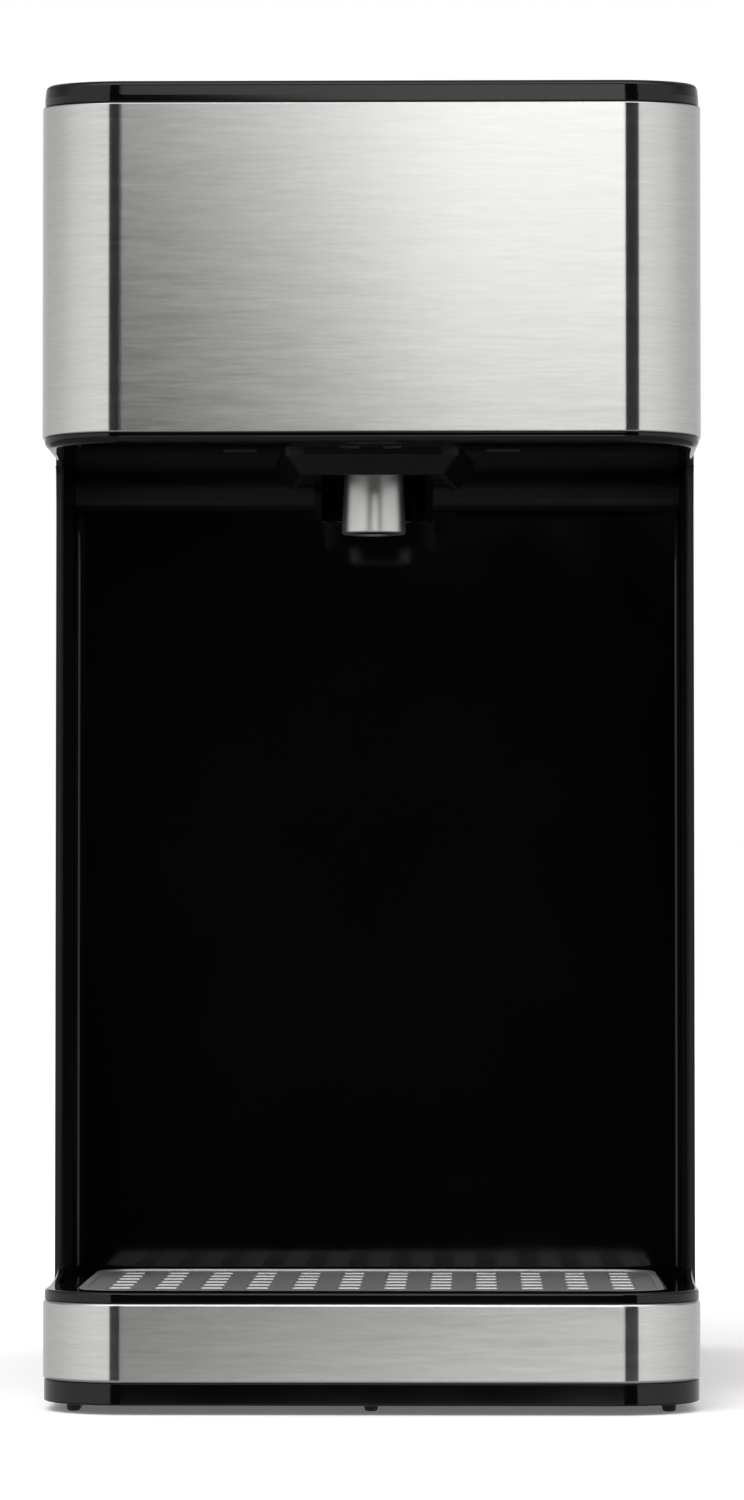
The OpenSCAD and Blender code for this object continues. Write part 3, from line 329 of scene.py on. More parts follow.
class Skin:
    """Points and faces of one piece, gathered patch by patch."""

    def __init__(self):
        self.points = []
        self.faces = []
        self.count = 0

    def add(self, points, faces):
        points = np.asarray(points, float).reshape(-1, 3)
        self.faces += (np.asarray(faces) + self.count).tolist()
        self.points.append(points)
        self.count += len(points)

    def grid(self, points, wrap=False, loop=False, holes=()):
        """Quads over rows and columns of points; wrap joins the last column to the first, loop the rows.

        A hole is (first row, last row, first column, last column) of quads that are left out.
        """
        rows, columns = points.shape[:2]
        index = np.arange(rows * columns).reshape(rows, columns)
        if wrap:
            index = np.concatenate([index, index[:, :1]], 1)
        if loop:
            index = np.concatenate([index, index[:1]], 0)
        quads = np.stack([index[:-1, :-1], index[:-1, 1:], index[1:, 1:], index[1:, :-1]], 2)
        keep = np.ones(quads.shape[:2], bool)
        for top, bottom, left, right in holes:
            keep[top:bottom, left:right] = False
        self.add(points, quads[keep])
        return self

    def lid(self, ring):
        """Strips across a loop that is alike left and right."""
        half = len(ring) // 2
        i = np.arange(half - 1)
        self.add(ring, np.stack([i, i + 1, 2 * half - 2 - i, 2 * half - 1 - i], 1))
        return self

    def face(self, ring):
        """One flat face over a loop."""
        self.add(ring, [np.arange(len(ring))])
        return self

    def plate(self, rings, axes=(0, 1)):
        """A face inside the first ring, with the other rings as holes, by a constrained triangulation.

        It is worked out on two of the axes. A triangle with all its points on one hole lies in that hole.
        """
        sizes = np.array([len(ring) for ring in rings])
        points = np.concatenate(rings)
        owner = np.repeat(np.arange(len(rings)), sizes)
        last = np.cumsum(sizes) - 1
        index = np.arange(len(points))
        following = index + 1
        following[last] = last + 1 - sizes
        inside = 1
        made = delaunay_2d_cdt(
            points[:, axes].tolist(), np.stack([index, following], 1).tolist(), [], inside, WELD / 10)
        given = np.array([spots[0] for spots in made[3]])
        faces = given[np.array(made[2])]
        met = owner[faces]
        in_hole = (met[:, 0] > 0) & (met.min(1) == met.max(1))
        self.add(points, faces[~in_hole])
        return self

    def pierced(self, walls):
        """Walls joined by two plates: the first wall is the outline, and the others are holes through it."""
        for wall in walls:
            self.grid(wall, wrap=True)
        for row in (0, -1):
            self.plate([wall[row] for wall in walls])
        return self

    def solid(self, rings):
        """Rings joined side by side, with a lid on the first and the last."""
        return self.grid(rings, wrap=True).lid(rings[0]).lid(rings[-1])

    def bar(self, rings):
        """Rings joined side by side, with a flat face on the first and the last."""
        return self.grid(rings, wrap=True).face(rings[0]).face(rings[-1])


def piece(skin, name, body, slot, *nodes):
    """Makes a piece's object from its skin: welded, facing out, dressed and riding on its body."""
    mesh = bpy.data.meshes.new(name)
    mesh.from_pydata(np.concatenate(skin.points), [], skin.faces)
    work = bmesh.new()
    work.from_mesh(mesh)
    bmesh.ops.remove_doubles(work, verts=work.verts, dist=WELD)
    bmesh.ops.dissolve_degenerate(work, edges=work.edges, dist=WELD)
    bmesh.ops.recalc_face_normals(work, faces=work.faces)
    work.to_mesh(mesh)
    work.free()
    mesh.shade_smooth()
    mesh.set_sharp_from_angle(angle=CREASE)
    mesh.materials.append(PALETTE[slot])
    made = bpy.data.objects.new(name, mesh)
    bpy.context.scene.collection.objects.link(made)
    flatten = made.modifiers.new("Flat faces stay flat", "WEIGHTED_NORMAL")
    flatten.keep_sharp = True
    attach(made, body)
    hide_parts(*nodes)
    return made


# Shared effects


def new_group(name, inputs, outputs):
    """An empty shader node group with its named sockets, and its input and output nodes."""
    group = bpy.data.node_groups.new(name, "ShaderNodeTree")
    for label, kind, default in inputs:
        socket = group.interface.new_socket(name=label, in_out="INPUT", socket_type=kind)
        socket.default_value = default
    for label, kind in outputs:
        group.interface.new_socket(name=label, in_out="OUTPUT", socket_type=kind)
    return group, group.nodes.new("NodeGroupInput"), group.nodes.new("NodeGroupOutput")


def noise_in(group, vector, scale, detail, roughness=0.5):
    """A noise value node in a group; scale may be a socket or a number."""
    noise = group.nodes.new("ShaderNodeTexNoise")
    noise.inputs["Detail"].default_value = detail
    noise.inputs["Roughness"].default_value = roughness
    group.links.new(vector, noise.inputs["Vector"])
    if isinstance(scale, (int, float)):
        noise.inputs["Scale"].default_value = scale
    else:
        group.links.new(scale, noise.inputs["Scale"])
    return noise.outputs["Fac"]


def math_in(group, operation, a, b):
    """A math node in a group, of two sockets or numbers."""
    node = group.nodes.new("ShaderNodeMath")
    node.operation = operation
    for socket, value in zip(node.inputs, (a, b)):
        if isinstance(value, (int, float)):
            socket.default_value = value
        else:
            group.links.new(value, socket)
    return node.outputs[0]


def product_in(group, *values):
    """The product of sockets or numbers, by math nodes in a group."""
    made = values[0]
    for value in values[1:]:
        made = math_in(group, "MULTIPLY", made, value)
    return made


def span_in(group, value, given, wanted):
    """A value carried from one span to another, and held at the ends."""
    node = group.nodes.new("ShaderNodeMapRange")
    for label, number in zip(("From Min", "From Max", "To Min", "To Max"), (*given, *wanted)):
        node.inputs[label].default_value = number
    group.links.new(value, node.inputs["Value"])
    return node.outputs["Result"]


def shared(name, build):
    """A node group by name, built the first time it is asked for."""
    return bpy.data.node_groups.get(name) or build(name)


def build_brush_lines(name):
    """Long fine lines: noise stretched along two axes, in a fine and a broad layer."""
    group, given, gives = new_group(
        name,
        [("Vector", "NodeSocketVector", (0, 0, 0)), ("Stretch", "NodeSocketVector", (18, 18, 2600))],
        [("Fine", "NodeSocketFloat"), ("Tone", "NodeSocketFloat")])
    stretch = group.nodes.new("ShaderNodeVectorMath")
    stretch.operation = "MULTIPLY"
    group.links.new(given.outputs["Vector"], stretch.inputs[0])
    group.links.new(given.outputs["Stretch"], stretch.inputs[1])
    fine = noise_in(group, stretch.outputs[0], 1.0, 3.0, 0.6)
    broad = noise_in(group, stretch.outputs[0], 0.22, 2.0)
    fine_share = 0.6
    tone = math_in(
        group, "ADD", product_in(group, fine, fine_share), product_in(group, broad, 1 - fine_share))
    group.links.new(fine, gives.inputs["Fine"])
    group.links.new(tone, gives.inputs["Tone"])
    return group


def build_moulded_grain(name):
    """The fine pebbled skin of moulded plastic, and the slow drift of its gloss."""
    group, given, gives = new_group(
        name,
        [("Vector", "NodeSocketVector", (0, 0, 0)), ("Grain", "NodeSocketFloat", 1800.0),
         ("Drift", "NodeSocketFloat", 22.0)],
        [("Pebble", "NodeSocketFloat"), ("Gloss", "NodeSocketFloat")])
    pebble = noise_in(group, given.outputs["Vector"], given.outputs["Grain"], 2.0)
    drift = noise_in(group, given.outputs["Vector"], given.outputs["Drift"], 3.0)
    group.links.new(pebble, gives.inputs["Pebble"])
    group.links.new(drift, gives.inputs["Gloss"])
    return group


class Paint:
    """The nodes of one material round its Principled shader."""

    def __init__(self, name, **constants):
        self.material = bpy.data.materials.new(name)
        self.material.use_nodes = True
        tree = self.material.node_tree
        self.nodes, self.links = tree.nodes, tree.links
        self.shader = self.nodes["Principled BSDF"]
        self.place = self.nodes.new("ShaderNodeTexCoord").outputs["Object"]
        for label, value in constants.items():
            self.shader.inputs[label.replace("_", " ")].default_value = value

    def group(self, name, build, **values):
        """A shared effect on the piece's own coordinates; gives its outputs."""
        node = self.nodes.new("ShaderNodeGroup")
        node.node_tree = shared(name, build)
        self.links.new(self.place, node.inputs["Vector"])
        for label, value in values.items():
            node.inputs[label].default_value = value
        return node.outputs

    def range(self, value, lowest, highest, into):
        """Spreads a noise value from lowest to highest, into a socket of the shader."""
        spread = span_in(self.material.node_tree, value, NOISE_SPAN, (lowest, highest))
        self.links.new(spread, self.shader.inputs[into])

    def tint(self, value, colour, spread):
        """Base colour that drifts by the spread to either side of a colour."""
        ramp = self.nodes.new("ShaderNodeValToRGB")
        ends = ramp.color_ramp.elements
        ends[0].position, ends[1].position = NOISE_SPAN
        ends[0].color = [c * (1 - spread) for c in colour[:3]] + [1]
        ends[1].color = [min(c * (1 + spread), 1) for c in colour[:3]] + [1]
        self.links.new(value, ramp.inputs["Fac"])
        self.links.new(ramp.outputs["Color"], self.shader.inputs["Base Color"])

    def bump(self, value, depth):
        """Fine relief of a depth in metres."""
        node = self.nodes.new("ShaderNodeBump")
        node.inputs["Distance"].default_value = depth
        self.links.new(value, node.inputs["Height"])
        self.links.new(node.outputs["Normal"], self.shader.inputs["Normal"])

    def grain_along(self):
        """Turns the stretched gloss across a grain that runs level round the upright walls."""
        tangent = self.nodes.new("ShaderNodeTangent")
        tangent.direction_type = "RADIAL"
        tangent.axis = "Z"
        self.links.new(tangent.outputs["Tangent"], self.shader.inputs["Tangent"])


def steel_paint(name, colour, rough, stretch, across=0.0, metal=1.0, streak=0.035):
    """Brushed sheet: lines along the grain vary the tone, the gloss and the relief."""
    quarter_turn, gloss_spread, relief = 0.25, 0.012, 2e-7
    paint = Paint(name, Metallic=metal, Anisotropic=across, Anisotropic_Rotation=quarter_turn)
    lines = paint.group("Brush lines", build_brush_lines, Stretch=stretch)
    paint.tint(lines["Tone"], colour, streak)
    paint.range(lines["Tone"], rough - gloss_spread, rough + gloss_spread, "Roughness")
    paint.bump(lines["Fine"], relief)
    if across:
        paint.grain_along()
    return paint.material


def plastic_paint(name, colour, rough, spread, grain, depth, drift=22.0, **constants):
    """Moulded plastic or rubber: a pebbled skin whose gloss and colour drift slowly."""
    colour_spread = 0.12
    paint = Paint(name, **constants)
    skin = paint.group("Moulded grain", build_moulded_grain, Grain=grain, Drift=drift)
    paint.tint(skin["Gloss"], colour, colour_spread)
    paint.range(skin["Gloss"], rough - spread, rough + spread, "Roughness")
    paint.bump(skin["Pebble"], depth)
    return paint.material


def metal_paint(name, colour, rough, spread, grain=900.0, depth=1e-6):
    """Plain metal whose gloss drifts, with a faint skin."""
    return plastic_paint(name, colour, rough, spread, grain, depth, drift=40.0, Metallic=1.0)


def finishes(finish):
    """Every material slot of the record with its material."""
    level_grain = (150.0, 150.0, 1900.0)
    plate_grain = (14.0, 2200.0, 900.0)
    return {
        "brushed_steel": steel_paint("Brushed steel", finish.steel, 0.17, level_grain, 1.0, streak=0.07),
        "grille_steel": steel_paint("Satin grille steel", finish.grille, 0.42, plate_grain, metal=0.85),
        "chrome": metal_paint("Chrome plate", finish.chrome, 0.33, 0.04),
        "gloss_black": plastic_paint(
            "Polished black", finish.gloss_black, 0.07, 0.03, 160.0, 2e-7, Specular_IOR_Level=0.36),
        "satin_black": plastic_paint(
            "Moulded black", finish.satin_black, 0.40, 0.05, 2200.0, 6e-6, Specular_IOR_Level=0.2),
        "foot_rubber": plastic_paint("Foot rubber", (0.016, 0.016, 0.016), 0.72, 0.08, 2600.0, 2e-5),
        "seal_rubber": plastic_paint("Seal rubber", (0.36, 0.06, 0.03), 0.5, 0.08, 2000.0, 1e-5),
        "silicone_hose": plastic_paint("Silicone hose", (0.58, 0.55, 0.46), 0.45, 0.08, 600.0, 6e-6),
        "lead_sheath": plastic_paint("Lead sheath", (0.06, 0.06, 0.065), 0.45, 0.08, 900.0, 6e-6),
        "smoky_tank": plastic_paint(
            "Smoky tank", finish.smoke, 0.08, 0.03, 120.0, 2e-7, drift=14.0, Transmission_Weight=1.0,
            IOR=1.49),
        "key_grey": plastic_paint("Key grey", (0.030, 0.031, 0.033), 0.34, 0.05, 2600.0, 6e-6),
        "lens_white": plastic_paint("Lens white", (0.72, 0.77, 0.80), 0.2, 0.05, 700.0, 2e-6),
        "natural_plastic": plastic_paint("Natural plastic", (0.76, 0.76, 0.72), 0.42, 0.08, 1200.0, 8e-6),
        "valve_plastic": plastic_paint("Valve plastic", (0.03, 0.09, 0.15), 0.4, 0.06, 1500.0, 6e-6),
        "dark_plastic": plastic_paint("Dark plastic", (0.03, 0.03, 0.033), 0.5, 0.08, 1500.0, 1e-5),
        "impeller_plastic": plastic_paint("Impeller plastic", (0.68, 0.68, 0.65), 0.4, 0.08, 1200.0, 8e-6),
        "board_green": plastic_paint("Board green", (0.014, 0.105, 0.042), 0.35, 0.08, 900.0, 1e-5),
        "zinc_screws": metal_paint("Zinc screws", (0.09, 0.09, 0.09), 0.42, 0.08),
        "bright_steel": metal_paint("Bright steel", (0.60, 0.60, 0.58), 0.24, 0.06),
        "cast_element": metal_paint("Cast element", (0.34, 0.33, 0.31), 0.55, 0.1, 500.0, 3e-5),
        "motor_metal": metal_paint("Motor metal", (0.45, 0.46, 0.47), 0.38, 0.08),
        "brass_cutout": metal_paint("Brass cut-outs", (0.62, 0.52, 0.30), 0.34, 0.08),
    }


class DISPENSER_OT_finishes(bpy.types.Operator):
    """Make the finishes and put each on the nodes of its slot"""

    bl_idname = "dispenser.finishes"
    bl_label = "Finishes"

    def execute(self, context):
        PALETTE.update(finishes(context.scene.dispenser_finish))
        for entry in frame["record"]["subparts"]:
            slots = frame["nodes"][entry["node"]].data.materials
            slots.clear()
            slots.append(PALETTE[entry["material_slot"]])
        return {"FINISHED"}


# Steel sheets and pieces of the base


class DISPENSER_OT_steel_sheets(bpy.types.Operator):
    """Bend the two brushed sheets: the front of the head and the band round the base"""

    bl_idname = "dispenser.steel_sheets"
    bl_label = "Steel sheets"

    def execute(self, context):
        shape = context.scene.dispenser_shape
        thick, inner_edge, bend_steps = 1 * MM, 0.1 * MM, 24

        def under_cap(x, y):
            """Height of the seam below the cap."""
            return deck_height(x, y) - CAP_HEIGHT - CAP_SEAM

        under_rim = level(high("base_band").z)
        for node, top, edge in (
                ("front_panel", under_cap, shape.sheet_edge), ("base_band", under_rim, shape.band_edge)):
            corner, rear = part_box(node)
            path = rounded_path(
                [(-rear.x, rear.y, 0), (-rear.x, corner.y, shape.front_corner),
                 (rear.x, corner.y, shape.front_corner), (rear.x, rear.y, 0)], False, bend_steps)
            rings = upright(path, thick, level(corner.z), top, edge, inner_edge)
            piece(Skin().bar(rings), f"{node}_sheet", "housing", "brushed_steel", node)
        return {"FINISHED"}


class DISPENSER_OT_base(bpy.types.Operator):
    """Mould the pan, the rim with the tray's well, and the feet"""

    bl_idname = "dispenser.base"
    bl_label = "Base"

    def execute(self, context):
        shape = context.scene.dispenser_shape
        self.pan(shape)
        self.rim(shape)
        self.feet()
        return {"FINISHED"}

    def pan(self, shape):
        """A dish: its outer edge turns under, and its wall stands round a thin floor."""
        bottom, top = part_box("base_pan")
        rows = plan_rows(top.x, bottom.y, top.y, shape.front_corner, REAR_R)
        wall, floor, flat_in, inside = 2.5 * MM, 2 * MM, 9 * MM, 0.5 * MM
        rings = dish(rows, bottom.z, top.z, wall, floor, flat_in, (shape.pan_edge, CRISP, inside))
        piece(Skin().solid(rings), "base_pan_moulding", "housing", "gloss_black", "base_pan")

    def rim(self, shape):
        """Rim and well: one skin from under the well, out to the rim's edge, over the top and into the well.

        Towards the side panels the lip rises as a quarter of an ellipse: rise * (1 - sqrt(1 - share^2)).
        """
        tray_low, tray_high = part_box("drip_grille")
        rim_low = high("base_band").z
        inset, gap, floor_gap, wall, sideways = 0.3 * MM, 0.5 * MM, 0.1 * MM, 1.5 * MM, 0.99
        well_floor = low("drip_tray").z - floor_gap
        half, inner_half = high("base_band").x - inset, 75.3 * MM
        end_y, rise_l, lip, step, flat_in = -10 * MM, 34 * MM, 1.7 * MM, 0.05 * MM, 3 * MM
        corner, side_in, floor, mouth_in, mouth_r = 11.5 * MM, 12 * MM, 2 * MM, 0.8 * MM, 0.5 * MM
        stops = STEEL_REAR_Y - rise_l * np.linspace(1, 0, RISE_STEPS) ** 2
        front = low("base_band").y + inset

        def plan(inward):
            """Rows of the rim's plan, drawn smaller."""
            return stepped_plan(
                half - inward, front + inward, end_y - inward, shape.front_corner - inward,
                inner_half - inward, stops)

        tray = plan_rows(
            tray_high.x + gap, tray_low.y - gap, tray_high.y + gap, corner, corner,
            np.linspace(tray_low.y + side_in, tray_high.y - side_in, RISE_STEPS + 1))
        inner = plan_loop(tray)
        outer, facing = plan_loop(plan(0))
        under = sweep(inner, np.array([[-wall, well_floor - floor], [-wall, rim_low]]))
        section = profile(
            (flat_in, rim_low, 0), (0, rim_low, CRISP), (0, DECK_Z, shape.rim_edge), (lip, DECK_Z, 0),
            (lip + step, DECK_Z, 0), (flat_in, DECK_Z, 0))
        side = nested(plan, section)
        lifted = (section[:, 0] < lip + step / 2) & (section[:, 1] > (rim_low + DECK_Z) / 2)
        along = np.clip((side[..., 1] - STEEL_REAR_Y) / rise_l + 1, 0, 1)
        rise = shape.rim_rise * (1 - np.sqrt(1 - along ** 2)) * (outer[:, 1] < STEEL_REAR_Y + WELD)
        side[..., 2] += rise * (np.abs(facing[:, 0]) > sideways) * lifted[:, None]
        well = sweep(inner, profile((-mouth_in, DECK_Z, 0), (0, DECK_Z, mouth_r), (0, well_floor, 0)))
        rings = np.concatenate([under, side, well])
        piece(Skin().solid(rings), "base_rim", "housing", "gloss_black", "base_deck")

    def feet(self):
        """Six studs with round ends and a rounded tread, all from one stadium loop."""
        bottom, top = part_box("rubber_feet")
        wide, long, tread_in, tread_r = 3.2 * MM, 12 * MM, 0.9 * MM, 0.7 * MM
        loop = rectangle(-wide / 2, -long / 2, wide / 2, long / 2, wide / 2)
        section = profile((tread_in, bottom.z, 0), (0, bottom.z, tread_r), (0, top.z, 0))
        stud = sweep(loop, section)
        skin = Skin()
        for x in (bottom.x + wide / 2, 0, top.x - wide / 2):
            for y in (bottom.y + long / 2, top.y - long / 2):
                skin.bar(stud + (x, y, 0))
        piece(skin, "foot_studs", "housing", "foot_rubber", "rubber_feet")


class DISPENSER_OT_drip_tray(bpy.types.Operator):
    """Mould the drip tray and press the grille that lies in it"""

    bl_idname = "dispenser.drip_tray"
    bl_label = "Drip tray"

    def execute(self, context):
        self.tray()
        self.grille()
        return {"FINISHED"}

    def tray(self):
        """A dish with a rounded floor, from its underside up over the lip and down inside."""
        bottom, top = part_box("drip_tray")
        wall, floor, flat_in, corner = 1.8 * MM, 2 * MM, 9 * MM, 11 * MM
        under, inside = 3 * MM, 2 * MM
        rows = plan_rows(top.x, bottom.y, top.y, corner, corner)
        rings = dish(rows, bottom.z, top.z, wall, floor, flat_in, (under, SOFT, inside))
        piece(Skin().solid(rings), "drip_tray_dish", "tray", "satin_black", "drip_tray")

    def grille(self):
        """A plate of like cells, each a slot in a rectangle, in a border whose lip rises to the rear."""
        bottom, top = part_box("drip_grille")
        columns, rows = 12, 6
        slot_w, slot_l, slot_r, edge = 5.4 * MM, 8.6 * MM, 0.9 * MM, 0.55 * MM
        span_x, span_y = 118.6 * MM, 65 * MM
        pitch = np.array([span_x / (columns - 1), span_y / (rows - 1)])
        lip_h, lip_w, lip_run, lip_in = 0.5 * MM, 1.8 * MM, 30 * MM, 0.6 * MM
        corner, root_r, lip_r = 11 * MM, 0.25 * MM, 0.24 * MM
        plate_z = top.z - lip_h
        centre = np.array([0, (bottom.y + top.y) / 2])
        per_side = 4
        square = self.square_loop(per_side, per_side)
        slot_path = rectangle(-slot_w / 2, -slot_l / 2, slot_w / 2, slot_l / 2, slot_r, per_side)
        section = profile((-2 * edge, plate_z, 0), (0, plate_z, edge), (0, bottom.z, 0))[1:]
        slot_rings = sweep(self.at_corners(slot_path, per_side), section)
        rect = np.column_stack([square * pitch / 2, np.full(len(square), plate_z)])
        cell = np.concatenate([rect[None], slot_rings, rect[None] * (1, 1, 0) + (0, 0, bottom.z)])
        skin = Skin()
        for i in range(columns):
            for j in range(rows):
                spot = centre + pitch * (i - (columns - 1) / 2, j - (rows - 1) / 2)
                skin.grid(cell + (spot[0], spot[1], 0), wrap=True)
        block = pitch * (columns, rows) / 2
        inner = self.square_loop(columns * per_side, rows * per_side)
        half = np.array([top.x, (top.y - bottom.y) / 2])
        outline, normal = self.round_border(inner, half, corner)
        border = profile(
            (lip_w + lip_in, plate_z, 0), (lip_w, plate_z, root_r), (lip_w, top.z, lip_r),
            (0, top.z, lip_r), (0, bottom.z, CRISP), (lip_w, bottom.z, 0), steps=3)
        rings = sweep((outline + centre, normal), border)
        share = np.clip((rings[..., 1] - bottom.y) / lip_run, 0, 1)
        rings[..., 2] -= (1 - share) * np.maximum(rings[..., 2] - plate_z, 0)
        level_in = np.column_stack([inner * block + centre, np.full(len(inner), plate_z)])
        level_under = level_in * (1, 1, 0) + (0, 0, bottom.z)
        skin.grid(np.concatenate([level_in[None], rings, level_under[None]]), wrap=True)
        piece(skin, "drip_grille_plate", "grille", "grille_steel", "drip_grille")

    @staticmethod
    def square_loop(across, along):
        """A square loop from -1 to 1, with a count of points on the sides across and on the sides along."""
        x, y = (np.linspace(-1, 1, count + 1)[:-1] for count in (across, along))
        sides = ((x, x * 0 - 1), (y * 0 + 1, y), (-x, x * 0 + 1), (y * 0 - 1, -y))
        return np.concatenate([np.stack(side, 1) for side in sides])

    @staticmethod
    def at_corners(path, per_side):
        """A four-cornered path that starts halfway round its first arc, with the same count per side."""
        points, normals = path
        count = per_side + 1
        keep = np.arange(len(points)) % count != per_side
        shift = -(per_side // 2)
        return np.roll(points[keep], shift, 0), np.roll(normals[keep], shift, 0)

    @staticmethod
    def round_border(square, half, radius):
        """Points of a square loop pushed out to a rounded rectangle, with their outward normals.

        A point goes to the same share of the rectangle, and in a corner on to the arc, along its radius.
        """
        flat = square * half
        pivot = np.clip(flat, radius - half, half - radius)
        away = flat - pivot
        length = np.linalg.norm(away, axis=1, keepdims=True)
        normal = away / length
        return pivot + normal * radius, normal


# Pieces of the column


class DISPENSER_OT_side_panels(bpy.types.Operator):
    """Mould the two side panels, with a chamfer down the bay and a cove to the head"""

    bl_idname = "dispenser.side_panels"
    bl_label = "Side panels"

    def execute(self, context):
        chamfer = context.scene.dispenser_shape.cheek_edge
        bottom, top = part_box("right_side_panel")
        cheek_y, cove, soft = STEEL_REAR_Y + 0.3 * MM, 2.6 * MM, 1.2 * MM
        slim, fade_start, fade_run = 0.3, 2 * MM, 8 * MM
        step_r, bend_r, flat_in, outer_r, chamfer_r = 4 * MM, 20 * MM, 1.6 * MM, 0.25 * MM, 0.15 * MM
        shelf_z, bay_y = high("rear_cover").z, high("top_cover").y
        bend_z = TOP_Z - CAP_HEIGHT - CAP_SEAM
        front_z = deck_height(0, np.array(cheek_y)) - CAP_HEIGHT - CAP_SEAM
        swing = np.radians(np.linspace(60, 0, 7))
        hollow = np.stack([
            cheek_y - cove * (1 - np.cos(swing)), HEAD_Z - cove * (1 - np.sin(swing)), swing * 0], 1)
        fading = [(cheek_y, HEAD_Z - drop * MM, 0) for drop in (4, 6, 8, 10)]
        points, normals = rounded_path([
            (cheek_y, bottom.z, soft), (top.y, bottom.z, soft), (top.y, shelf_z, step_r),
            (bay_y, shelf_z, soft), (bay_y, bend_z, soft), (WALL_Y, bend_z, bend_r),
            (cheek_y, front_z, soft), (cheek_y, HEAD_Z, 0), (hollow[0, 0], HEAD_Z, 0), *hollow, *fading,
            (cheek_y, DECK_Z + 1 * MM, 0), (cheek_y, DECK_Z - 1 * MM, 0)], True, 6)
        thick = top.x - bottom.x
        section = profile(
            (flat_in, 0, 0), (0, 0, outer_r), (0, thick - chamfer, chamfer_r), (chamfer, thick, outer_r),
            (flat_in, thick, 0))
        in_bay = (points[:, 0] < cheek_y + WELD) & (points[:, 1] > DECK_Z) & (points[:, 1] < HEAD_Z - WELD)
        grown = np.clip((HEAD_Z - points[:, 1] - fade_start) / fade_run, 0, 1)
        share = slim + (1 - slim) * grown * in_bay
        flat = points[None] - section[:, None, :1] * share[:, None] * normals[None]
        depth = np.broadcast_to(section[:, 1:], flat.shape[:2]) + bottom.x
        right = np.stack([depth, flat[..., 0], flat[..., 1]], 2)
        for name, turn in (("right_side_panel", 1), ("left_side_panel", -1)):
            skin = Skin().bar(right * (turn, 1, 1))
            piece(skin, f"{name}_moulding", "housing", "satin_black", name)
        return {"FINISHED"}


class DISPENSER_OT_splash_panel(bpy.types.Operator):
    """Polish the panel on the bay's back wall, sunk a little between two sloping upright lips"""

    bl_idname = "dispenser.splash_panel"
    bl_label = "Splash panel"

    def execute(self, context):
        bottom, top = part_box("splash_panel")
        lip, sunk, lip_r, root_r = 0.7 * MM, 0.35 * MM, 0.15 * MM, 0.1 * MM
        ring = rounded_path([
            (-top.x, top.y, 0), (-top.x, bottom.y, lip_r), (lip - top.x, bottom.y + sunk, root_r),
            (top.x - lip, bottom.y + sunk, root_r), (top.x, bottom.y, lip_r), (top.x, top.y, 0)])[0]
        heights = np.array([bottom.z, top.z])
        rings = np.dstack([*np.broadcast_arrays(ring[None, :, 0], ring[None, :, 1], heights[:, None])])
        piece(Skin().bar(rings), "splash_sheet", "housing", "gloss_black", "splash_panel")
        return {"FINISHED"}


class DISPENSER_OT_rear_cover(bpy.types.Operator):
    """Mould the cover behind the column with its vents, and turn the cord's bush"""

    bl_idname = "dispenser.rear_cover"
    bl_label = "Rear cover"

    def execute(self, context):
        self.cover(context.scene.dispenser_shape.moulded_edge)
        self.bush()
        return {"FINISHED"}

    def cover(self, edge):
        """An upright sheet on a path like a U, whose flat rear is closed by two plates with like holes."""
        bottom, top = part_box("rear_cover")
        bush = middle("cord_bush")
        wall, steps = 2.5 * MM, 8
        vents, vent_x, vent_pitch, vent_w, vent_h, vent_r = 7, -40 * MM, 8 * MM, 3 * MM, 28 * MM, 1.2 * MM
        vent_z, bush_hole = bottom.z + 40 * MM, 6.8 * MM
        path = rounded_path([
            (top.x, bottom.y, 0), (top.x, top.y, REAR_R), (-top.x, top.y, REAR_R), (-top.x, bottom.y, 0)],
            False, steps)
        rings = upright(path, wall, level(bottom.z), level(top.z), edge)
        flat = steps + 1
        outside, inside = EDGE_STEPS, 3 * EDGE_STEPS + 2
        skin = Skin().grid(rings, wrap=True, holes=[(flat, flat + 1, c, c + 1) for c in (outside, inside)])
        skin.face(rings[0]).face(rings[-1])
        holes = [hole(bush.x, bush.z, bush_hole)]
        for i in range(vents):
            x = vent_x + i * vent_pitch
            holes.append(rectangle(x, vent_z, x + vent_w, vent_z + vent_h, vent_r))
        section = profile((-2 * edge, top.y, 0), (0, top.y, edge), (0, top.y - wall, 0))[1:]
        walls = [sweep(path, section)[..., [0, 2, 1]] for path in holes]
        for through in walls:
            skin.grid(through, wrap=True)
        for column, row in ((outside, 0), (inside, -1)):
            corners = rings[[flat, flat + 1, flat + 1, flat], [column, column, column + 1, column + 1]]
            skin.plate([corners, *(through[row] for through in walls)], (0, 2))
        piece(skin, "rear_cover_moulding", "housing", "satin_black", "rear_cover")

    def bush(self):
        """A flanged tube turned about a level axis."""
        bottom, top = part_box("cord_bush")
        centre = middle("cord_bush")
        flange, flange_t, bore = (top.x - bottom.x) / 2, 2 * MM, 3.6 * MM
        tube, flange_r, mouth_r = flange - 2 * MM, 0.9 * MM, 0.8 * MM
        section = rounded_path([
            (bore, bottom.y, EASED), (tube, bottom.y, EASED), (tube, top.y - flange_t, 0),
            (flange, top.y - flange_t, CRISP), (flange, top.y, flange_r), (bore, top.y, mouth_r)])[0]
        turned = lathe(section)[..., [0, 2, 1]] + (centre.x, 0, centre.z)
        skin = Skin().grid(turned, wrap=True, loop=True)
        piece(skin, "cord_bush_turned", "housing", "satin_black", "cord_bush")


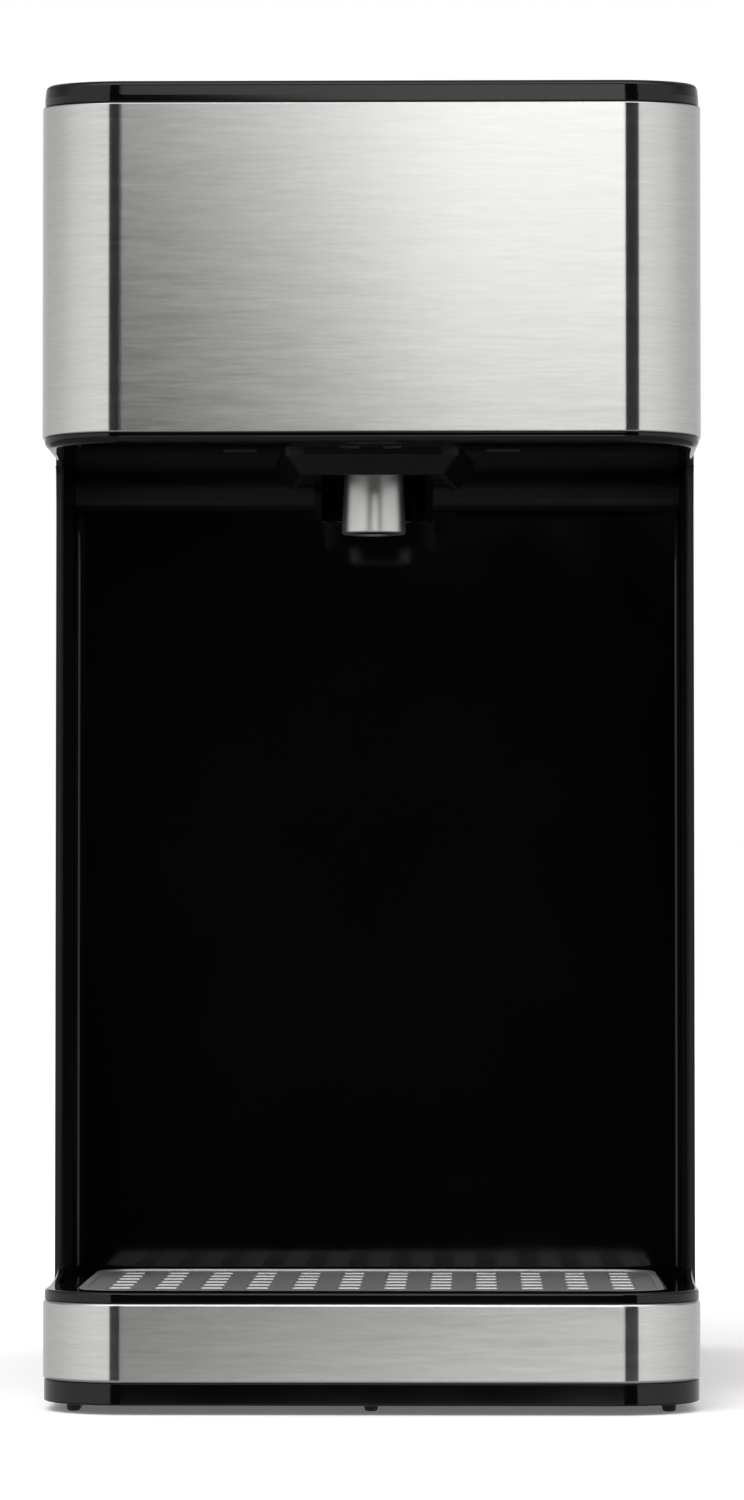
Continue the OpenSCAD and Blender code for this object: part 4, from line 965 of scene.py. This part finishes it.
class DISPENSER_OT_tank_shelf(bpy.types.Operator):
    """Mould the shelf that the tank stands on, with its socket and the pin that opens the valve"""

    bl_idname = "dispenser.tank_shelf"
    bl_label = "Tank shelf"

    def execute(self, context):
        edge = context.scene.dispenser_shape.moulded_edge
        bottom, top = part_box("tank_shelf")
        port = middle("valve_plunger")
        thick, flat_in, depth, floor = 2.5 * MM, 1 * MM, 10 * MM, 3 * MM
        socket, boss, spigot, bore = 13 * MM, 15.5 * MM, 4 * MM, 2.7 * MM
        pin, pin_gap = 1.2 * MM, 0.1 * MM
        plate_z, floor_z = top.z - thick, top.z - depth
        cup_z = floor_z - floor
        loop = plan_loop(plan_rows(top.x, bottom.y, top.y, 2 * flat_in, REAR_R))
        plate = sweep(loop, profile(
            (flat_in, plate_z, 0), (0, plate_z, edge / 2), (0, top.z, edge / 2), (flat_in, top.z, 0)))
        cup = lathe(profile(
            (boss, plate_z, 0), (boss, cup_z, edge), (spigot, cup_z, edge), (spigot, bottom.z, edge),
            (bore, bottom.z, edge), (bore, floor_z, edge), (socket, floor_z, edge), (socket, top.z, edge),
            (socket + flat_in, top.z, 0)))
        cup += (port.x, port.y, 0)
        skin = Skin().pierced([plate, cup])
        web = rectangle(-spigot, -pin / 2, spigot, pin / 2)
        skin.bar(sweep(web, np.array([[0, cup_z + edge], [0, floor_z - edge]])) + (port.x, port.y, 0))
        pin_z = low("valve_plunger").z - pin_gap
        stem = lathe(profile((pin, floor_z - floor / 2, 0), (pin, pin_z, edge), (0, pin_z, 0)), 24)
        skin.grid(stem + (port.x, port.y, 0), wrap=True).face(stem[0] + (port.x, port.y, 0))
        piece(skin, "tank_shelf_moulding", "housing", "satin_black", "tank_shelf")
        return {"FINISHED"}


class DISPENSER_OT_tank(bpy.types.Operator):
    """Mould the clear tank with its spout and hinge, and the lid on it"""

    bl_idname = "dispenser.tank"
    bl_label = "Tank"

    def execute(self, context):
        shape = context.scene.dispenser_shape
        self.tank(shape.tank_edge)
        self.lid(shape.lid_edge)
        return {"FINISHED"}

    def tank(self, edge):
        """A dish whose floor opens into a turned spout; a strip between its walls carries two knuckles."""
        bottom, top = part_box("water_tank")
        port = middle("valve_plunger")
        shelf_gap, lid_gap = 1 * MM, 0.3 * MM
        floor_z = high("rear_cover").z + shelf_gap
        rim_z = low("tank_lid").z + SKIRT_DROP - lid_gap
        wall, flat_in, rim_r, inside = 2.4 * MM, 3.9 * MM, 0.8 * MM, 1.4 * MM
        rows = plan_rows(top.x, bottom.y, top.y, TANK_FRONT_R, REAR_R)
        shell = dish(rows, floor_z, rim_z, wall, wall, flat_in, (edge, rim_r, inside))
        spout_r, spout_edge, bore, mouth, seat = 11 * MM, 0.6 * MM, 8.5 * MM, 5 * MM, 2 * MM
        spout = lathe(profile(
            (spout_r, floor_z, 0), (spout_r, bottom.z, spout_edge), (mouth, bottom.z, EASED),
            (mouth, bottom.z + seat, 0), (bore, bottom.z + seat, CRISP), (bore, floor_z + wall, 0)))
        spout += (port.x, port.y, 0)
        skin = Skin().pierced([shell, spout])
        clear, strip_h, strip_in = 0.05 * MM, 4 * MM, 3.35 * MM
        rows = self.rear_rows(top, REAR_R - wall - clear, HINGE.y - strip_in, math.pi / 2, ARC_STEPS)
        skin.solid(sweep(plan_loop(rows), np.array([[0, rim_z - strip_h], [0, rim_z]])))
        r, start, end = KNUCKLE_R, 20 * MM, 39.9 * MM
        knuckle = self.knuckle([
            (HINGE.y - r, rim_z + clear, 0), (HINGE.y + r, rim_z + clear, 0), (HINGE.y + r, HINGE.z + r, r),
            (HINGE.y - r, HINGE.z + r, r)], start, end)
        for side in (-1, 1):
            skin.bar(knuckle * (side, 1, 1))
        piece(skin, "water_tank_clear", "tank", "smoky_tank", "water_tank")

    def lid(self, edge):
        """A plate with a finger notch at the front, a skirt that drops into the tank and the middle knuckle.

        The notch is an arc about a point ahead of the lid, down to a ledge. Below it the front is straight.
        """
        bottom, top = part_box("tank_lid")
        hinge_gap, ledge_h = 3.95 * MM, 2 * MM
        base_z, rear_y = bottom.z + SKIRT_DROP, HINGE.y - hinge_gap
        ledge_z = base_z + ledge_h
        notch_r, ahead, flat_in = 13 * MM, 8 * MM, 1 * MM
        front_rows = plan_rows(top.x, bottom.y, rear_y, TANK_FRONT_R, TANK_FRONT_R)[:ARC_STEPS + 1]
        rear = high("water_tank")
        tail_end = math.asin((rear_y - rear.y) / REAR_R + 1)
        tail = self.rear_rows(rear, REAR_R, rear.y - REAR_R, tail_end, 3)
        tail[-1, 2:] = (tail[-1, 2] / (1 + tail[-1, 3]), 1)
        points, normals = plan_loop(np.concatenate([front_rows, tail]))
        t = math.acos(ahead / notch_r) * np.linspace(-1, 1, 25)
        sin, cos = np.sin(t), np.cos(t)
        straight = np.stack([notch_r * sin, np.full(len(t), bottom.y)], 1)
        curved = np.stack([notch_r * sin, bottom.y - ahead + notch_r * cos], 1)
        into_notch = np.stack([-sin, -cos], 1)
        for end in (0, -1):
            into_notch[end] = (-math.tan(t[end] / 2), -1)
        whole = (np.concatenate([points, straight]), np.concatenate([normals, straight * 0 + (0, -1)]))
        notched = (np.concatenate([points, curved]), np.concatenate([normals, into_notch]))
        lower = sweep(whole, profile((flat_in, base_z, 0), (0, base_z, SOFT), (0, ledge_z, 0)))
        upper = sweep(notched, profile((0, ledge_z, 0), (0, top.z, edge), (edge + 0.1 * MM, top.z, 0)))
        skin = Skin().grid(np.concatenate([lower, upper]), wrap=True).plate([upper[-1]])
        skirt_in, skirt_t, skirt_r = 3.4 * MM, 2 * MM, 2.2 * MM
        rows = plan_rows(top.x - skirt_in, bottom.y + skirt_in, rear_y - skirt_in, skirt_r, skirt_r)
        skirt = sweep(plan_loop(rows), profile(
            (0, base_z, 0), (0, bottom.z, SOFT), (skirt_t, bottom.z, SOFT), (skirt_t, base_z, 0)))
        skin.grid(skirt, wrap=True).plate([lower[0], skirt[0]]).plate([skirt[-1]])
        r, half, web_in = KNUCKLE_R, 19.7 * MM, 0.3 * MM
        web_y = rear_y - web_in
        web_low, web_high = base_z + 1.2 * MM, base_z + 5.5 * MM
        skin.bar(self.knuckle([
            (web_y, web_low, 0), (HINGE.y + r, HINGE.z - r, r), (HINGE.y + r, HINGE.z + r, r),
            (web_y, web_high, 0)], -half, half))
        piece(skin, "tank_lid_moulding", "lid", "gloss_black", "tank_lid")

    @staticmethod
    def rear_rows(corner, radius, start_y, end, steps):
        """Rows round a rear corner of the tank, about the centre of that corner, from a y to an angle."""
        centre_x, centre_y = corner.x - REAR_R, corner.y - REAR_R
        a = np.linspace(math.asin((start_y - centre_y) / radius), end, steps)
        sin, cos = np.sin(a), np.cos(a)
        return np.stack([centre_x + radius * cos, centre_y + radius * sin, cos, sin], 1)

    @staticmethod
    def knuckle(corners, start, end):
        """A section of (y, z) corners carried along x, with small arcs at its ends."""
        inner, edge = 0.6 * MM, 0.3 * MM
        along = profile((inner, start, 0), (0, start, edge), (0, end, edge), (inner, end, 0))
        return sweep(rounded_path(corners, True, 10), along)[..., [2, 0, 1]]


# Pieces of the head


class DISPENSER_OT_top_cover(bpy.types.Operator):
    """Mould the cap over the head, with its recess for the control panel"""

    bl_idname = "dispenser.top_cover"
    bl_label = "Top cover"

    def execute(self, context):
        shape = context.scene.dispenser_shape
        bottom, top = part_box("top_cover")
        gap, ledge, thick, wall, under = 0.3 * MM, 3 * MM, 2 * MM, 2.5 * MM, -3 * MM
        cos = math.cos(DECK_TILT)
        half = high("control_panel").x + gap
        front = FRONT_Y + (PANEL_START - gap) * cos
        rear = FRONT_Y + (PANEL_END + gap) * cos
        bend = [WALL_Y + d * MM for d in (-12, -7, -4, -2, 0, 2, 4, 7, 12)]
        front_r, rear_r, flat_in = shape.front_corner - 0.45 * MM, 1.55 * MM, 7 * MM
        lean, lean_z, lean_r, edge = 0.35 * MM, -3.2 * MM, 3 * MM, shape.cap_edge

        def plan(inward):
            """Rows of the cap's plan, drawn smaller."""
            return plan_rows(
                top.x - inward, bottom.y + inward, top.y - inward, front_r - inward,
                max(rear_r - inward, 0), bend)

        section = profile(
            (flat_in, 0, 0), (lean, 0, edge), (0, lean_z, lean_r), (0, -CAP_HEIGHT, EASED),
            (wall, -CAP_HEIGHT, CRISP), (wall, under, 0))
        skin = Skin().grid(nested(plan, section, deck_height), wrap=True)
        mouth = rectangle(-half, front, half, rear)
        recess = sweep(mouth, np.array([[0, 0], [0, -thick], [ledge, -thick], [ledge, under]]), deck_height)
        skin.grid(recess, wrap=True)
        for rows, drop, opening in ((plan(flat_in), 0, recess[0]), (plan(wall), under, recess[-1])):
            self.deck(skin, rows, drop, opening)
        piece(skin, "top_cap", "housing", "gloss_black", "top_cover")
        return {"FINISHED"}

    @staticmethod
    def deck(skin, rows, drop, opening):
        """The deck inside a plan: a flat face round the opening, and strips across where the deck bends."""
        bend_start = ARC_STEPS + 1
        ahead = plan_loop(rows[:bend_start + 1])[0]
        skin.plate([np.column_stack([ahead, deck_height(*ahead.T) + drop]), opening])
        behind = rows[bend_start:, :2]
        across = np.stack([behind * (-1, 1), behind], 1)
        skin.grid(np.dstack([across, deck_height(across[..., 0], across[..., 1]) + drop]))


class DISPENSER_OT_underside(bpy.types.Operator):
    """Mould the bezel and the underside of the head"""

    bl_idname = "dispenser.underside"
    bl_label = "Underside"

    def execute(self, context):
        shape = context.scene.dispenser_shape
        bottom = low("head_underside")
        top_z = low("front_panel").z
        inset, inner_half, floor_in, top_in = 0.5 * MM, 75.1 * MM, 9 * MM, 3 * MM
        half = HEAD_HALF - inset

        def plan(inward):
            """Rows of the underside's plan, drawn smaller."""
            return stepped_plan(
                half - inward, FRONT_Y + inset + inward, WALL_Y - inset - inward,
                shape.front_corner - inset - inward, inner_half - inward, [STEEL_REAR_Y])

        section = profile(
            (floor_in, bottom.z, 0), (0, bottom.z, shape.bezel_edge), (0, top_z, CRISP), (top_in, top_z, 0),
            steps=8)
        skin = Skin().solid(nested(plan, section))
        clip_tabs = np.array([(31, -106, 8), (5, -116, 4.4)]) * MM
        for x, y, wide in clip_tabs:
            for side in (-1, 1):
                skin.bar(self.tab(wide) + (side * x, y, bottom.z))
        piece(skin, "head_bezel", "housing", "gloss_black", "head_underside")
        return {"FINISHED"}

    @staticmethod
    def tab(wide):
        """A low clip tab that hangs under the origin: a rounded rectangle with a rounded lower edge."""
        deep, proud, corner = 3 * MM, 0.4 * MM, 0.5 * MM
        root, edge, face_in = 0.2 * MM, 0.35 * MM, 0.45 * MM
        loop = rectangle(-wide / 2, -deep / 2, wide / 2, deep / 2, corner)
        return sweep(loop, profile((0, root, 0), (0, -proud, edge), (face_in, -proud, 0)))


class DISPENSER_OT_nozzle(bpy.types.Operator):
    """Turn the nozzle's sleeve and core, and mould the housing and the guard round them"""

    bl_idname = "dispenser.nozzle"
    bl_label = "Nozzle"

    def execute(self, context):
        self.sleeve()
        self.core()
        self.guard()
        self.housing()
        return {"FINISHED"}

    def sleeve(self):
        """A plated tube that widens to its tip, with rolled edges."""
        bottom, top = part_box("nozzle_sleeve")
        tip, neck, bore = (top.x - bottom.x) / 2, 7 * MM, 5.6 * MM
        raise_h, flare_h, tip_t, tip_r = 0.8 * MM, 0.8 * MM, 1.1 * MM, 0.5 * MM
        mouth_z = bottom.z + raise_h
        corners = [
            (bore, mouth_z + flare_h, CRISP), (tip - tip_t, mouth_z, EASED), (tip, mouth_z, tip_r),
            (neck, top.z, EASED), (bore, top.z, CRISP)]
        self.tube(corners, "nozzle_sleeve_plated", "chrome", "nozzle_sleeve")

    def core(self):
        """The outlet tube inside the sleeve, with a rounded mouth."""
        bottom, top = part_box("nozzle_core")
        outer, bore, mouth_r = (top.x - bottom.x) / 2, 3.5 * MM, 0.6 * MM
        corners = [
            (bore, bottom.z, mouth_r), (outer, bottom.z, SOFT), (outer, top.z, EASED), (bore, top.z, EASED)]
        self.tube(corners, "nozzle_core_tube", "satin_black", "nozzle_core")

    @staticmethod
    def tube(corners, name, slot, node):
        """A tube turned about the nozzle's axis from the corners of its section."""
        skin = Skin().grid(lathe(rounded_path(corners)[0]) + (0, NOZZLE_Y, 0), wrap=True, loop=True)
        piece(skin, name, "housing", slot, node)

    def guard(self):
        """A half ring behind the nozzle: an upright strip on an arc."""
        bottom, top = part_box("nozzle_shroud")
        radius = (top.x - bottom.x) / 2
        thick, edge, overrun = 1.7 * MM, 0.6 * MM, 8
        points, normals = arc(radius, -overrun, 180 + overrun, 61)
        path = (points + (0, NOZZLE_Y), normals)
        rings = upright(path, thick, level(bottom.z), level(top.z), edge)
        piece(Skin().bar(rings), "nozzle_guard", "housing", "gloss_black", "nozzle_shroud")

    def housing(self):
        """A low boss that narrows to the front, with a sunk face round the nozzle."""
        bottom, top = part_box("nozzle_housing")
        narrowing, corner = 4 * MM, 6 * MM
        back_half, front_half = top.x, top.x - narrowing
        loop = rounded_path([
            (-front_half, bottom.y, corner), (front_half, bottom.y, corner), (back_half, top.y, corner),
            (-back_half, top.y, corner)], True, 8)
        draw, lip, lip_h, brim, edge, face_in = 3.6 * MM, 1.7 * MM, 2 * MM, 1 * MM, 0.5 * MM, 0.5 * MM
        sunk = bottom.z + lip_h
        section = profile(
            (0, top.z, 0), (0, top.z - brim, EASED), (draw, bottom.z, edge), (draw + lip, bottom.z, edge),
            (draw + lip, sunk, EASED), (draw + lip + face_in, sunk, 0))
        rings = sweep(loop, section)
        centre, neck_r = np.array([0, NOZZLE_Y]), 7.3 * MM
        away = rings[-1, :, :2] - centre
        away /= np.linalg.norm(away, axis=1, keepdims=True)
        neck = sweep((centre + away * neck_r, away), np.array([[0, sunk], [0, top.z]]))
        skin = Skin().grid(np.concatenate([rings, neck]), wrap=True, loop=True)
        piece(skin, "nozzle_boss", "housing", "satin_black", "nozzle_housing")


# Controls


def cap_radius(key):
    """Radius of a key's cap, inside the flange that holds it under the panel."""
    return (high(key).x - low(key).x) / 2 - 1.4 * MM


class DISPENSER_OT_control_panel(bpy.types.Operator):
    """Cut the control panel, with a soft edge round it and round each hole"""

    bl_idname = "dispenser.control_panel"
    bl_label = "Control panel"

    def execute(self, context):
        edge, thick, corner = 0.35 * MM, 2 * MM, 0.6 * MM
        key_gap, lens_r, lens_pitch, lens_count = 0.25 * MM, 1.3 * MM, 6 * MM, 4
        half = high("control_panel").x
        outline = rectangle(-half, PANEL_START, half, PANEL_END, corner)
        holes = [hole(middle(key).x, y, cap_radius(key) + key_gap) for key, y in KEYS.items()]
        for i in range(lens_count):
            for side in (-1, 1):
                holes.append(hole(side * (half - (i + 1) * lens_pitch), KEYS["start_key"], lens_r, 16))
        inward = profile((2 * edge, 0, 0), (0, 0, edge), (0, -thick, 0))[1:]
        walls = [sweep(outline, inward)] + [sweep(path, inward * (-1, 1)) for path in holes]
        skin = Skin().pierced([on_deck(wall) for wall in walls])
        piece(skin, "control_panel_sheet", "housing", "gloss_black", "control_panel")
        return {"FINISHED"}


class DISPENSER_OT_keys(bpy.types.Operator):
    """Turn the five keys, each with a dished face and a printed sign"""

    bl_idname = "dispenser.keys"
    bl_label = "Keys"

    def execute(self, context):
        for name in KEYS:
            self.key(name, getattr(self, name)(), context.scene.dispenser_shape.mark_width)
        return {"FINISHED"}

    def key(self, name, strokes, width):
        """A round cap with a dished face, on a flange and a stem; its sign stands just proud of the dish."""
        bottom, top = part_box(name)
        flange = (top.x - bottom.x) / 2
        radius = cap_radius(name)
        proud, under, foot, stem = 0.9 * MM, -2.1 * MM, -3.1 * MM, 2 * MM
        dip, face_r, face_edge, ink = 0.35 * MM, radius - 0.9 * MM, 0.45 * MM, 0.05 * MM
        end = foot - 3.5 * MM
        x = (bottom.x + top.x) / 2
        y = KEYS[name]
        share = np.linspace(0, 1, 9)
        face = np.stack([share * face_r, proud - dip * (1 - share ** 2)], 1)
        side = profile(
            (face_r, proud, 0), (radius, proud, face_edge), (radius, under, 0), (flange, under, CRISP),
            (flange, foot, CRISP), (stem, foot, EASED), (stem, end, EASED), (0, end, 0))
        section = np.concatenate([face, side[1:]])
        skin = Skin().grid(on_deck(lathe(section) + (x, y, 0)), wrap=True)
        piece(skin, f"{name}_cap", f"{name}_body", "key_grey", name)
        sign = Skin()
        for path, closed in strokes:
            ring = upright(path, width, level(0), level(1), ink)
            spread = np.linalg.norm(ring[..., :2], axis=-1) / face_r
            ring[..., 2] = proud - dip * (1 - spread ** 2) + ink * np.where(ring[..., 2] > 0.5, 1, -1)
            placed = on_deck(ring + (x, y, 0))
            if closed:
                sign.grid(placed, wrap=True, loop=True)
            else:
                sign.bar(placed)
        piece(sign, f"{name}_sign", f"{name}_body", "lens_white")

    @staticmethod
    def start_key():
        """A drop: a circle whose upper side is drawn to a point."""
        size, wide, tall, pinch, drop = 4.2 * MM, 0.95, 1.25, 0.42, 0.6 * MM
        a = np.linspace(0, 2 * math.pi, 48, endpoint=False)
        x = size * wide * np.cos(a) * (1 - pinch * (np.sin(a) + 1))
        y = size * tall * np.sin(a) - drop
        points = np.stack([x, y], 1)
        ahead = np.roll(points, -1, 0) - np.roll(points, 1, 0)
        ahead /= np.linalg.norm(ahead, axis=1, keepdims=True)
        return [((points, np.stack([ahead[:, 1], -ahead[:, 0]], 1)), True)]

    @staticmethod
    def power_key():
        """An open ring with a bar in its gap."""
        bar = rounded_path(np.array([(-0.35, 3.6, 0), (-0.35, 0.6, 0)]) * MM, False)
        return [(arc(3 * MM, 125, 415), False), (bar, False)]

    @staticmethod
    def temperature_key():
        """A bulb with a tall tube over it."""
        corners = [(-0.9, -0.7, 0), (-0.9, 3.8, 0.85), (0.9, 3.8, 0.85), (0.9, -0.7, 0)]
        tube = rounded_path(np.array(corners) * MM, False)
        outward = (tube[0], -tube[1])
        return [(outward, False), (arc(1.9 * MM, 120, 420, 40), False)]

    @staticmethod
    def volume_key():
        """A cup seen from the side, with its handle."""
        corners = [(-2.8, 2, 0), (-2.1, -2.6, 0.8), (1.3, -2.6, 0.8), (2, 2, 0)]
        cup = rounded_path(np.array(corners) * MM, False)
        ring, normal = arc(1.5 * MM, -80, 80, 20)
        return [(cup, False), ((ring + np.array([1.9, 0.2]) * MM, normal), False)]

    @staticmethod
    def lock_key():
        """A padlock: a box under a hoop."""
        box = rectangle(-2.4 * MM, -3 * MM, 2.4 * MM, 0.6 * MM, 0.5 * MM)
        hoop, normal = arc(1.7 * MM, 0, 180, 24)
        return [(box, True), ((hoop + (0, 1.2 * MM), normal), False)]


# Stage


def plain_material(name):
    """A material with nothing but its output node, and its node tree."""
    material = bpy.data.materials.new(name)
    material.use_nodes = True
    tree = material.node_tree
    tree.nodes.remove(tree.nodes["Principled BSDF"])
    return material, tree


class DISPENSER_OT_stage(bpy.types.Operator):
    """Set the camera, the pale world, the floor, the lamp, and the card and panes that the steel mirrors"""

    bl_idname = "dispenser.stage"
    bl_label = "Stage"

    def execute(self, context):
        context.scene.view_settings.view_transform = "Standard"
        self.camera(context)
        self.world(context)
        self.floor(context)
        self.black_card(context)
        self.glowing_panes(context)
        self.lamp(context)
        return {"FINISHED"}

    def camera(self, context):
        """The photograph's own view, from a fit of its edges to the frame."""
        place = Vector((23.79, -1493.77, 105.03)) * MM
        yaw, pitch = -0.0171, 0.03573
        focal_pixels = 5891.6
        data = bpy.data.cameras.new("Photograph")
        data.sensor_width = 36
        data.lens = focal_pixels / PHOTO_HEIGHT * data.sensor_width
        view = bpy.data.objects.new("Photograph", data)
        ahead = Vector((math.sin(yaw) * math.cos(pitch), math.cos(yaw) * math.cos(pitch), math.sin(pitch)))
        view.location = place
        view.rotation_mode = "QUATERNION"
        view.rotation_quaternion = ahead.to_track_quat("-Z", "Y")
        context.scene.collection.objects.link(view)
        context.scene.camera = view

    def world(self, context):
        """White where it is seen; mirrored, it is bright high up in front, and dim high up behind and below.

        A direction's Y runs from -1 in front to 1 behind, and its Z from -1 below to 1 above.
        """
        world = bpy.data.worlds.new("Studio")
        context.scene.world = world
        world.use_nodes = True
        tree = world.node_tree
        nodes, links = tree.nodes, tree.links
        path = nodes.new("ShaderNodeLightPath")
        spot = nodes.new("ShaderNodeSeparateXYZ")
        links.new(nodes.new("ShaderNodeTexCoord").outputs["Generated"], spot.inputs["Vector"])
        y, z = spot.outputs["Y"], spot.outputs["Z"]
        around = span_in(tree, y, (-0.7, 0.7), (0.98, 0.62))
        behind = span_in(tree, y, (-0.2, 0.2), (0, 1))
        above = span_in(tree, z, (0.16, 0.3), (0, 0.6))
        below = span_in(tree, z, (-0.2, -0.32), (1, 0.36))
        before = span_in(tree, y, (-0.15, -0.35), (0, 1))
        overhead = span_in(tree, z, (0.6, 0.72), (0, 1.4))
        shade = math_in(tree, "SUBTRACT", 1.0, product_in(tree, behind, above))
        mirrored = math_in(
            tree, "ADD", product_in(tree, around, shade, below), product_in(tree, before, overhead))
        strength = product_in(tree, path.outputs["Is Glossy Ray"], mirrored)
        for ray in ("Is Camera Ray", "Is Transmission Ray", "Is Diffuse Ray"):
            strength = math_in(tree, "MAXIMUM", strength, path.outputs[ray])
        nodes["Background"].inputs["Color"].default_value = (1, 1, 1, 1)
        links.new(strength, nodes["Background"].inputs["Strength"])

    def floor(self, context):
        """A wide level sheet that takes the soft shadow; a faint glow keeps the shadow from going black."""
        reach, shadow_glow = 12.0, 0.12
        line = np.linspace(-reach, reach, 5)
        x, y = np.meshgrid(line, line)
        skin = Skin().grid(np.dstack([x, y, np.zeros(x.shape)]))
        material, tree = plain_material("Pale floor")
        matt = tree.nodes.new("ShaderNodeBsdfDiffuse")
        matt.inputs["Color"].default_value = (*context.scene.dispenser_finish.backdrop, 1)
        glow = tree.nodes.new("ShaderNodeEmission")
        path = tree.nodes.new("ShaderNodeLightPath")
        tree.links.new(product_in(tree, path.outputs["Is Camera Ray"], shadow_glow), glow.inputs["Strength"])
        both = tree.nodes.new("ShaderNodeAddShader")
        tree.links.new(matt.outputs["BSDF"], both.inputs[0])
        tree.links.new(glow.outputs["Emission"], both.inputs[1])
        tree.links.new(both.outputs["Shader"], tree.nodes["Material Output"].inputs["Surface"])
        floor = self.sheet(context, skin, "floor", material)
        floor.visible_glossy = False

    def black_card(self, context):
        """A black card far behind the camera, which the front's corners mirror as two dark upright bars."""
        left, right, behind = -2540 * MM, 3620 * MM, -6130 * MM
        ceiling, ground = 6000 * MM, -1700 * MM
        material, tree = plain_material("Black card")
        matt = tree.nodes.new("ShaderNodeBsdfDiffuse")
        matt.inputs["Color"].default_value = (0, 0, 0, 1)
        tree.links.new(matt.outputs["BSDF"], tree.nodes["Material Output"].inputs["Surface"])
        skin = Skin().grid(self.standing((left, right), behind, (ceiling, ground)))
        self.only_mirrored(self.sheet(context, skin, "black_card", material))

    def glowing_panes(self, context):
        """Two panes behind the camera, which the flat of the front and the base mirrors.

        The upper pane's glow grows upward and to the right, and the lower one's to the right. Both fade at
        their edges.
        """
        left, right, behind, soft = -300 * MM, 385 * MM, -1619 * MM, 10 * MM
        upper_z, lower_z = (360 * MM, 1180 * MM), (-460 * MM, -130 * MM)
        lean, lean_ends, upper_glow = 1.39, (365 * MM, 424 * MM), 2.06
        dim_ends, dim = (-278 * MM, 8 * MM), 0.43
        lower_ends, lower_glow = (-147 * MM, 96 * MM), (0.92, 2.15)
        material, tree = plain_material("Glowing panes")
        spot = tree.nodes.new("ShaderNodeSeparateXYZ")
        tree.links.new(tree.nodes.new("ShaderNodeTexCoord").outputs["Object"], spot.inputs["Vector"])
        x, z = spot.outputs["X"], spot.outputs["Z"]

        def fade(value, start, run):
            """A rise from 0 to 1 over a run from a start."""
            return span_in(tree, value, (start, start + run), (0, 1))

        leaning = math_in(tree, "ADD", z, product_in(tree, x, lean))
        upper = product_in(
            tree, span_in(tree, leaning, lean_ends, (0, upper_glow)), span_in(tree, x, dim_ends, (dim, 1)),
            fade(z, upper_z[0], soft), fade(z, upper_z[1], -8 * soft))
        lower = product_in(
            tree, span_in(tree, x, lower_ends, lower_glow),
            fade(z, lower_z[0], soft), fade(z, lower_z[1], -soft))
        both = math_in(tree, "ADD", upper, lower)
        strength = product_in(tree, both, fade(x, left, soft), fade(x, right, -soft))
        glow = tree.nodes.new("ShaderNodeEmission")
        tree.links.new(strength, glow.inputs["Strength"])
        tree.links.new(glow.outputs["Emission"], tree.nodes["Material Output"].inputs["Surface"])
        panes = Skin()
        for heights in (upper_z, lower_z):
            panes.grid(self.standing((left, right), behind, heights))
        self.only_mirrored(self.sheet(context, panes, "glowing_panes", material))

    @staticmethod
    def standing(ends, y, heights):
        """A level-sided upright sheet between two x and two heights, facing along y."""
        x, z = np.meshgrid(ends, heights)
        return np.dstack([x, np.full(x.shape, y), z])

    @staticmethod
    def only_mirrored(made):
        """Hides an object of the stage from all but reflections."""
        for flag in ("visible_camera", "visible_diffuse", "visible_transmission", "visible_shadow"):
            setattr(made, flag, False)

    def sheet(self, context, skin, name, material):
        """An object of the stage from its skin."""
        mesh = bpy.data.meshes.new(name)
        mesh.from_pydata(np.concatenate(skin.points), [], skin.faces)
        mesh.materials.append(material)
        made = bpy.data.objects.new(name, mesh)
        context.scene.collection.objects.link(made)
        return made

    def lamp(self, context):
        """One large soft lamp over the left shoulder."""
        size, power = 1.4, 18.0
        place, target = Vector((-0.7, -1.1, 1.7)), Vector((0, 0, 0.1))
        data = bpy.data.lights.new("Soft lamp", "AREA")
        data.size = size
        data.energy = power
        lamp = bpy.data.objects.new("Soft lamp", data)
        lamp.location = place
        lamp.rotation_mode = "QUATERNION"
        lamp.rotation_quaternion = (target - place).to_track_quat("-Z", "Y")
        lamp.visible_camera = False
        lamp.visible_glossy = False
        context.scene.collection.objects.link(lamp)


OPERATORS = (
    DISPENSER_OT_finishes,
    DISPENSER_OT_steel_sheets,
    DISPENSER_OT_base,
    DISPENSER_OT_drip_tray,
    DISPENSER_OT_side_panels,
    DISPENSER_OT_splash_panel,
    DISPENSER_OT_rear_cover,
    DISPENSER_OT_tank_shelf,
    DISPENSER_OT_tank,
    DISPENSER_OT_top_cover,
    DISPENSER_OT_underside,
    DISPENSER_OT_nozzle,
    DISPENSER_OT_control_panel,
    DISPENSER_OT_keys,
    DISPENSER_OT_stage,
)


class DISPENSER_PT_parts(bpy.types.Panel):
    """Lists the steps that dress the dispenser"""

    bl_idname = "DISPENSER_PT_parts"
    bl_label = "Dispenser"
    bl_space_type = "VIEW_3D"
    bl_region_type = "UI"
    bl_category = "Dispenser"

    def draw(self, context):
        for operator in OPERATORS:
            self.layout.operator(operator.bl_idname)
        for group in (context.scene.dispenser_shape, context.scene.dispenser_finish):
            for label in group.bl_rna.properties.keys():
                if label not in ("rna_type", "name"):
                    self.layout.prop(group, label)


CLASSES = (DispenserShape, DispenserFinish, *OPERATORS, DISPENSER_PT_parts)


def register():
    for kind in CLASSES:
        bpy.utils.register_class(kind)
    bpy.types.Scene.dispenser_shape = PointerProperty(type=DispenserShape)
    bpy.types.Scene.dispenser_finish = PointerProperty(type=DispenserFinish)


def unregister():
    del bpy.types.Scene.dispenser_finish
    del bpy.types.Scene.dispenser_shape
    for kind in reversed(CLASSES):
        bpy.utils.unregister_class(kind)


def main():
    """Runs every step in order."""
    register()
    for operator in OPERATORS:
        step = operator.bl_idname.split(".")[1]
        getattr(bpy.ops.dispenser, step)()


if __name__ == "__main__":
    main()
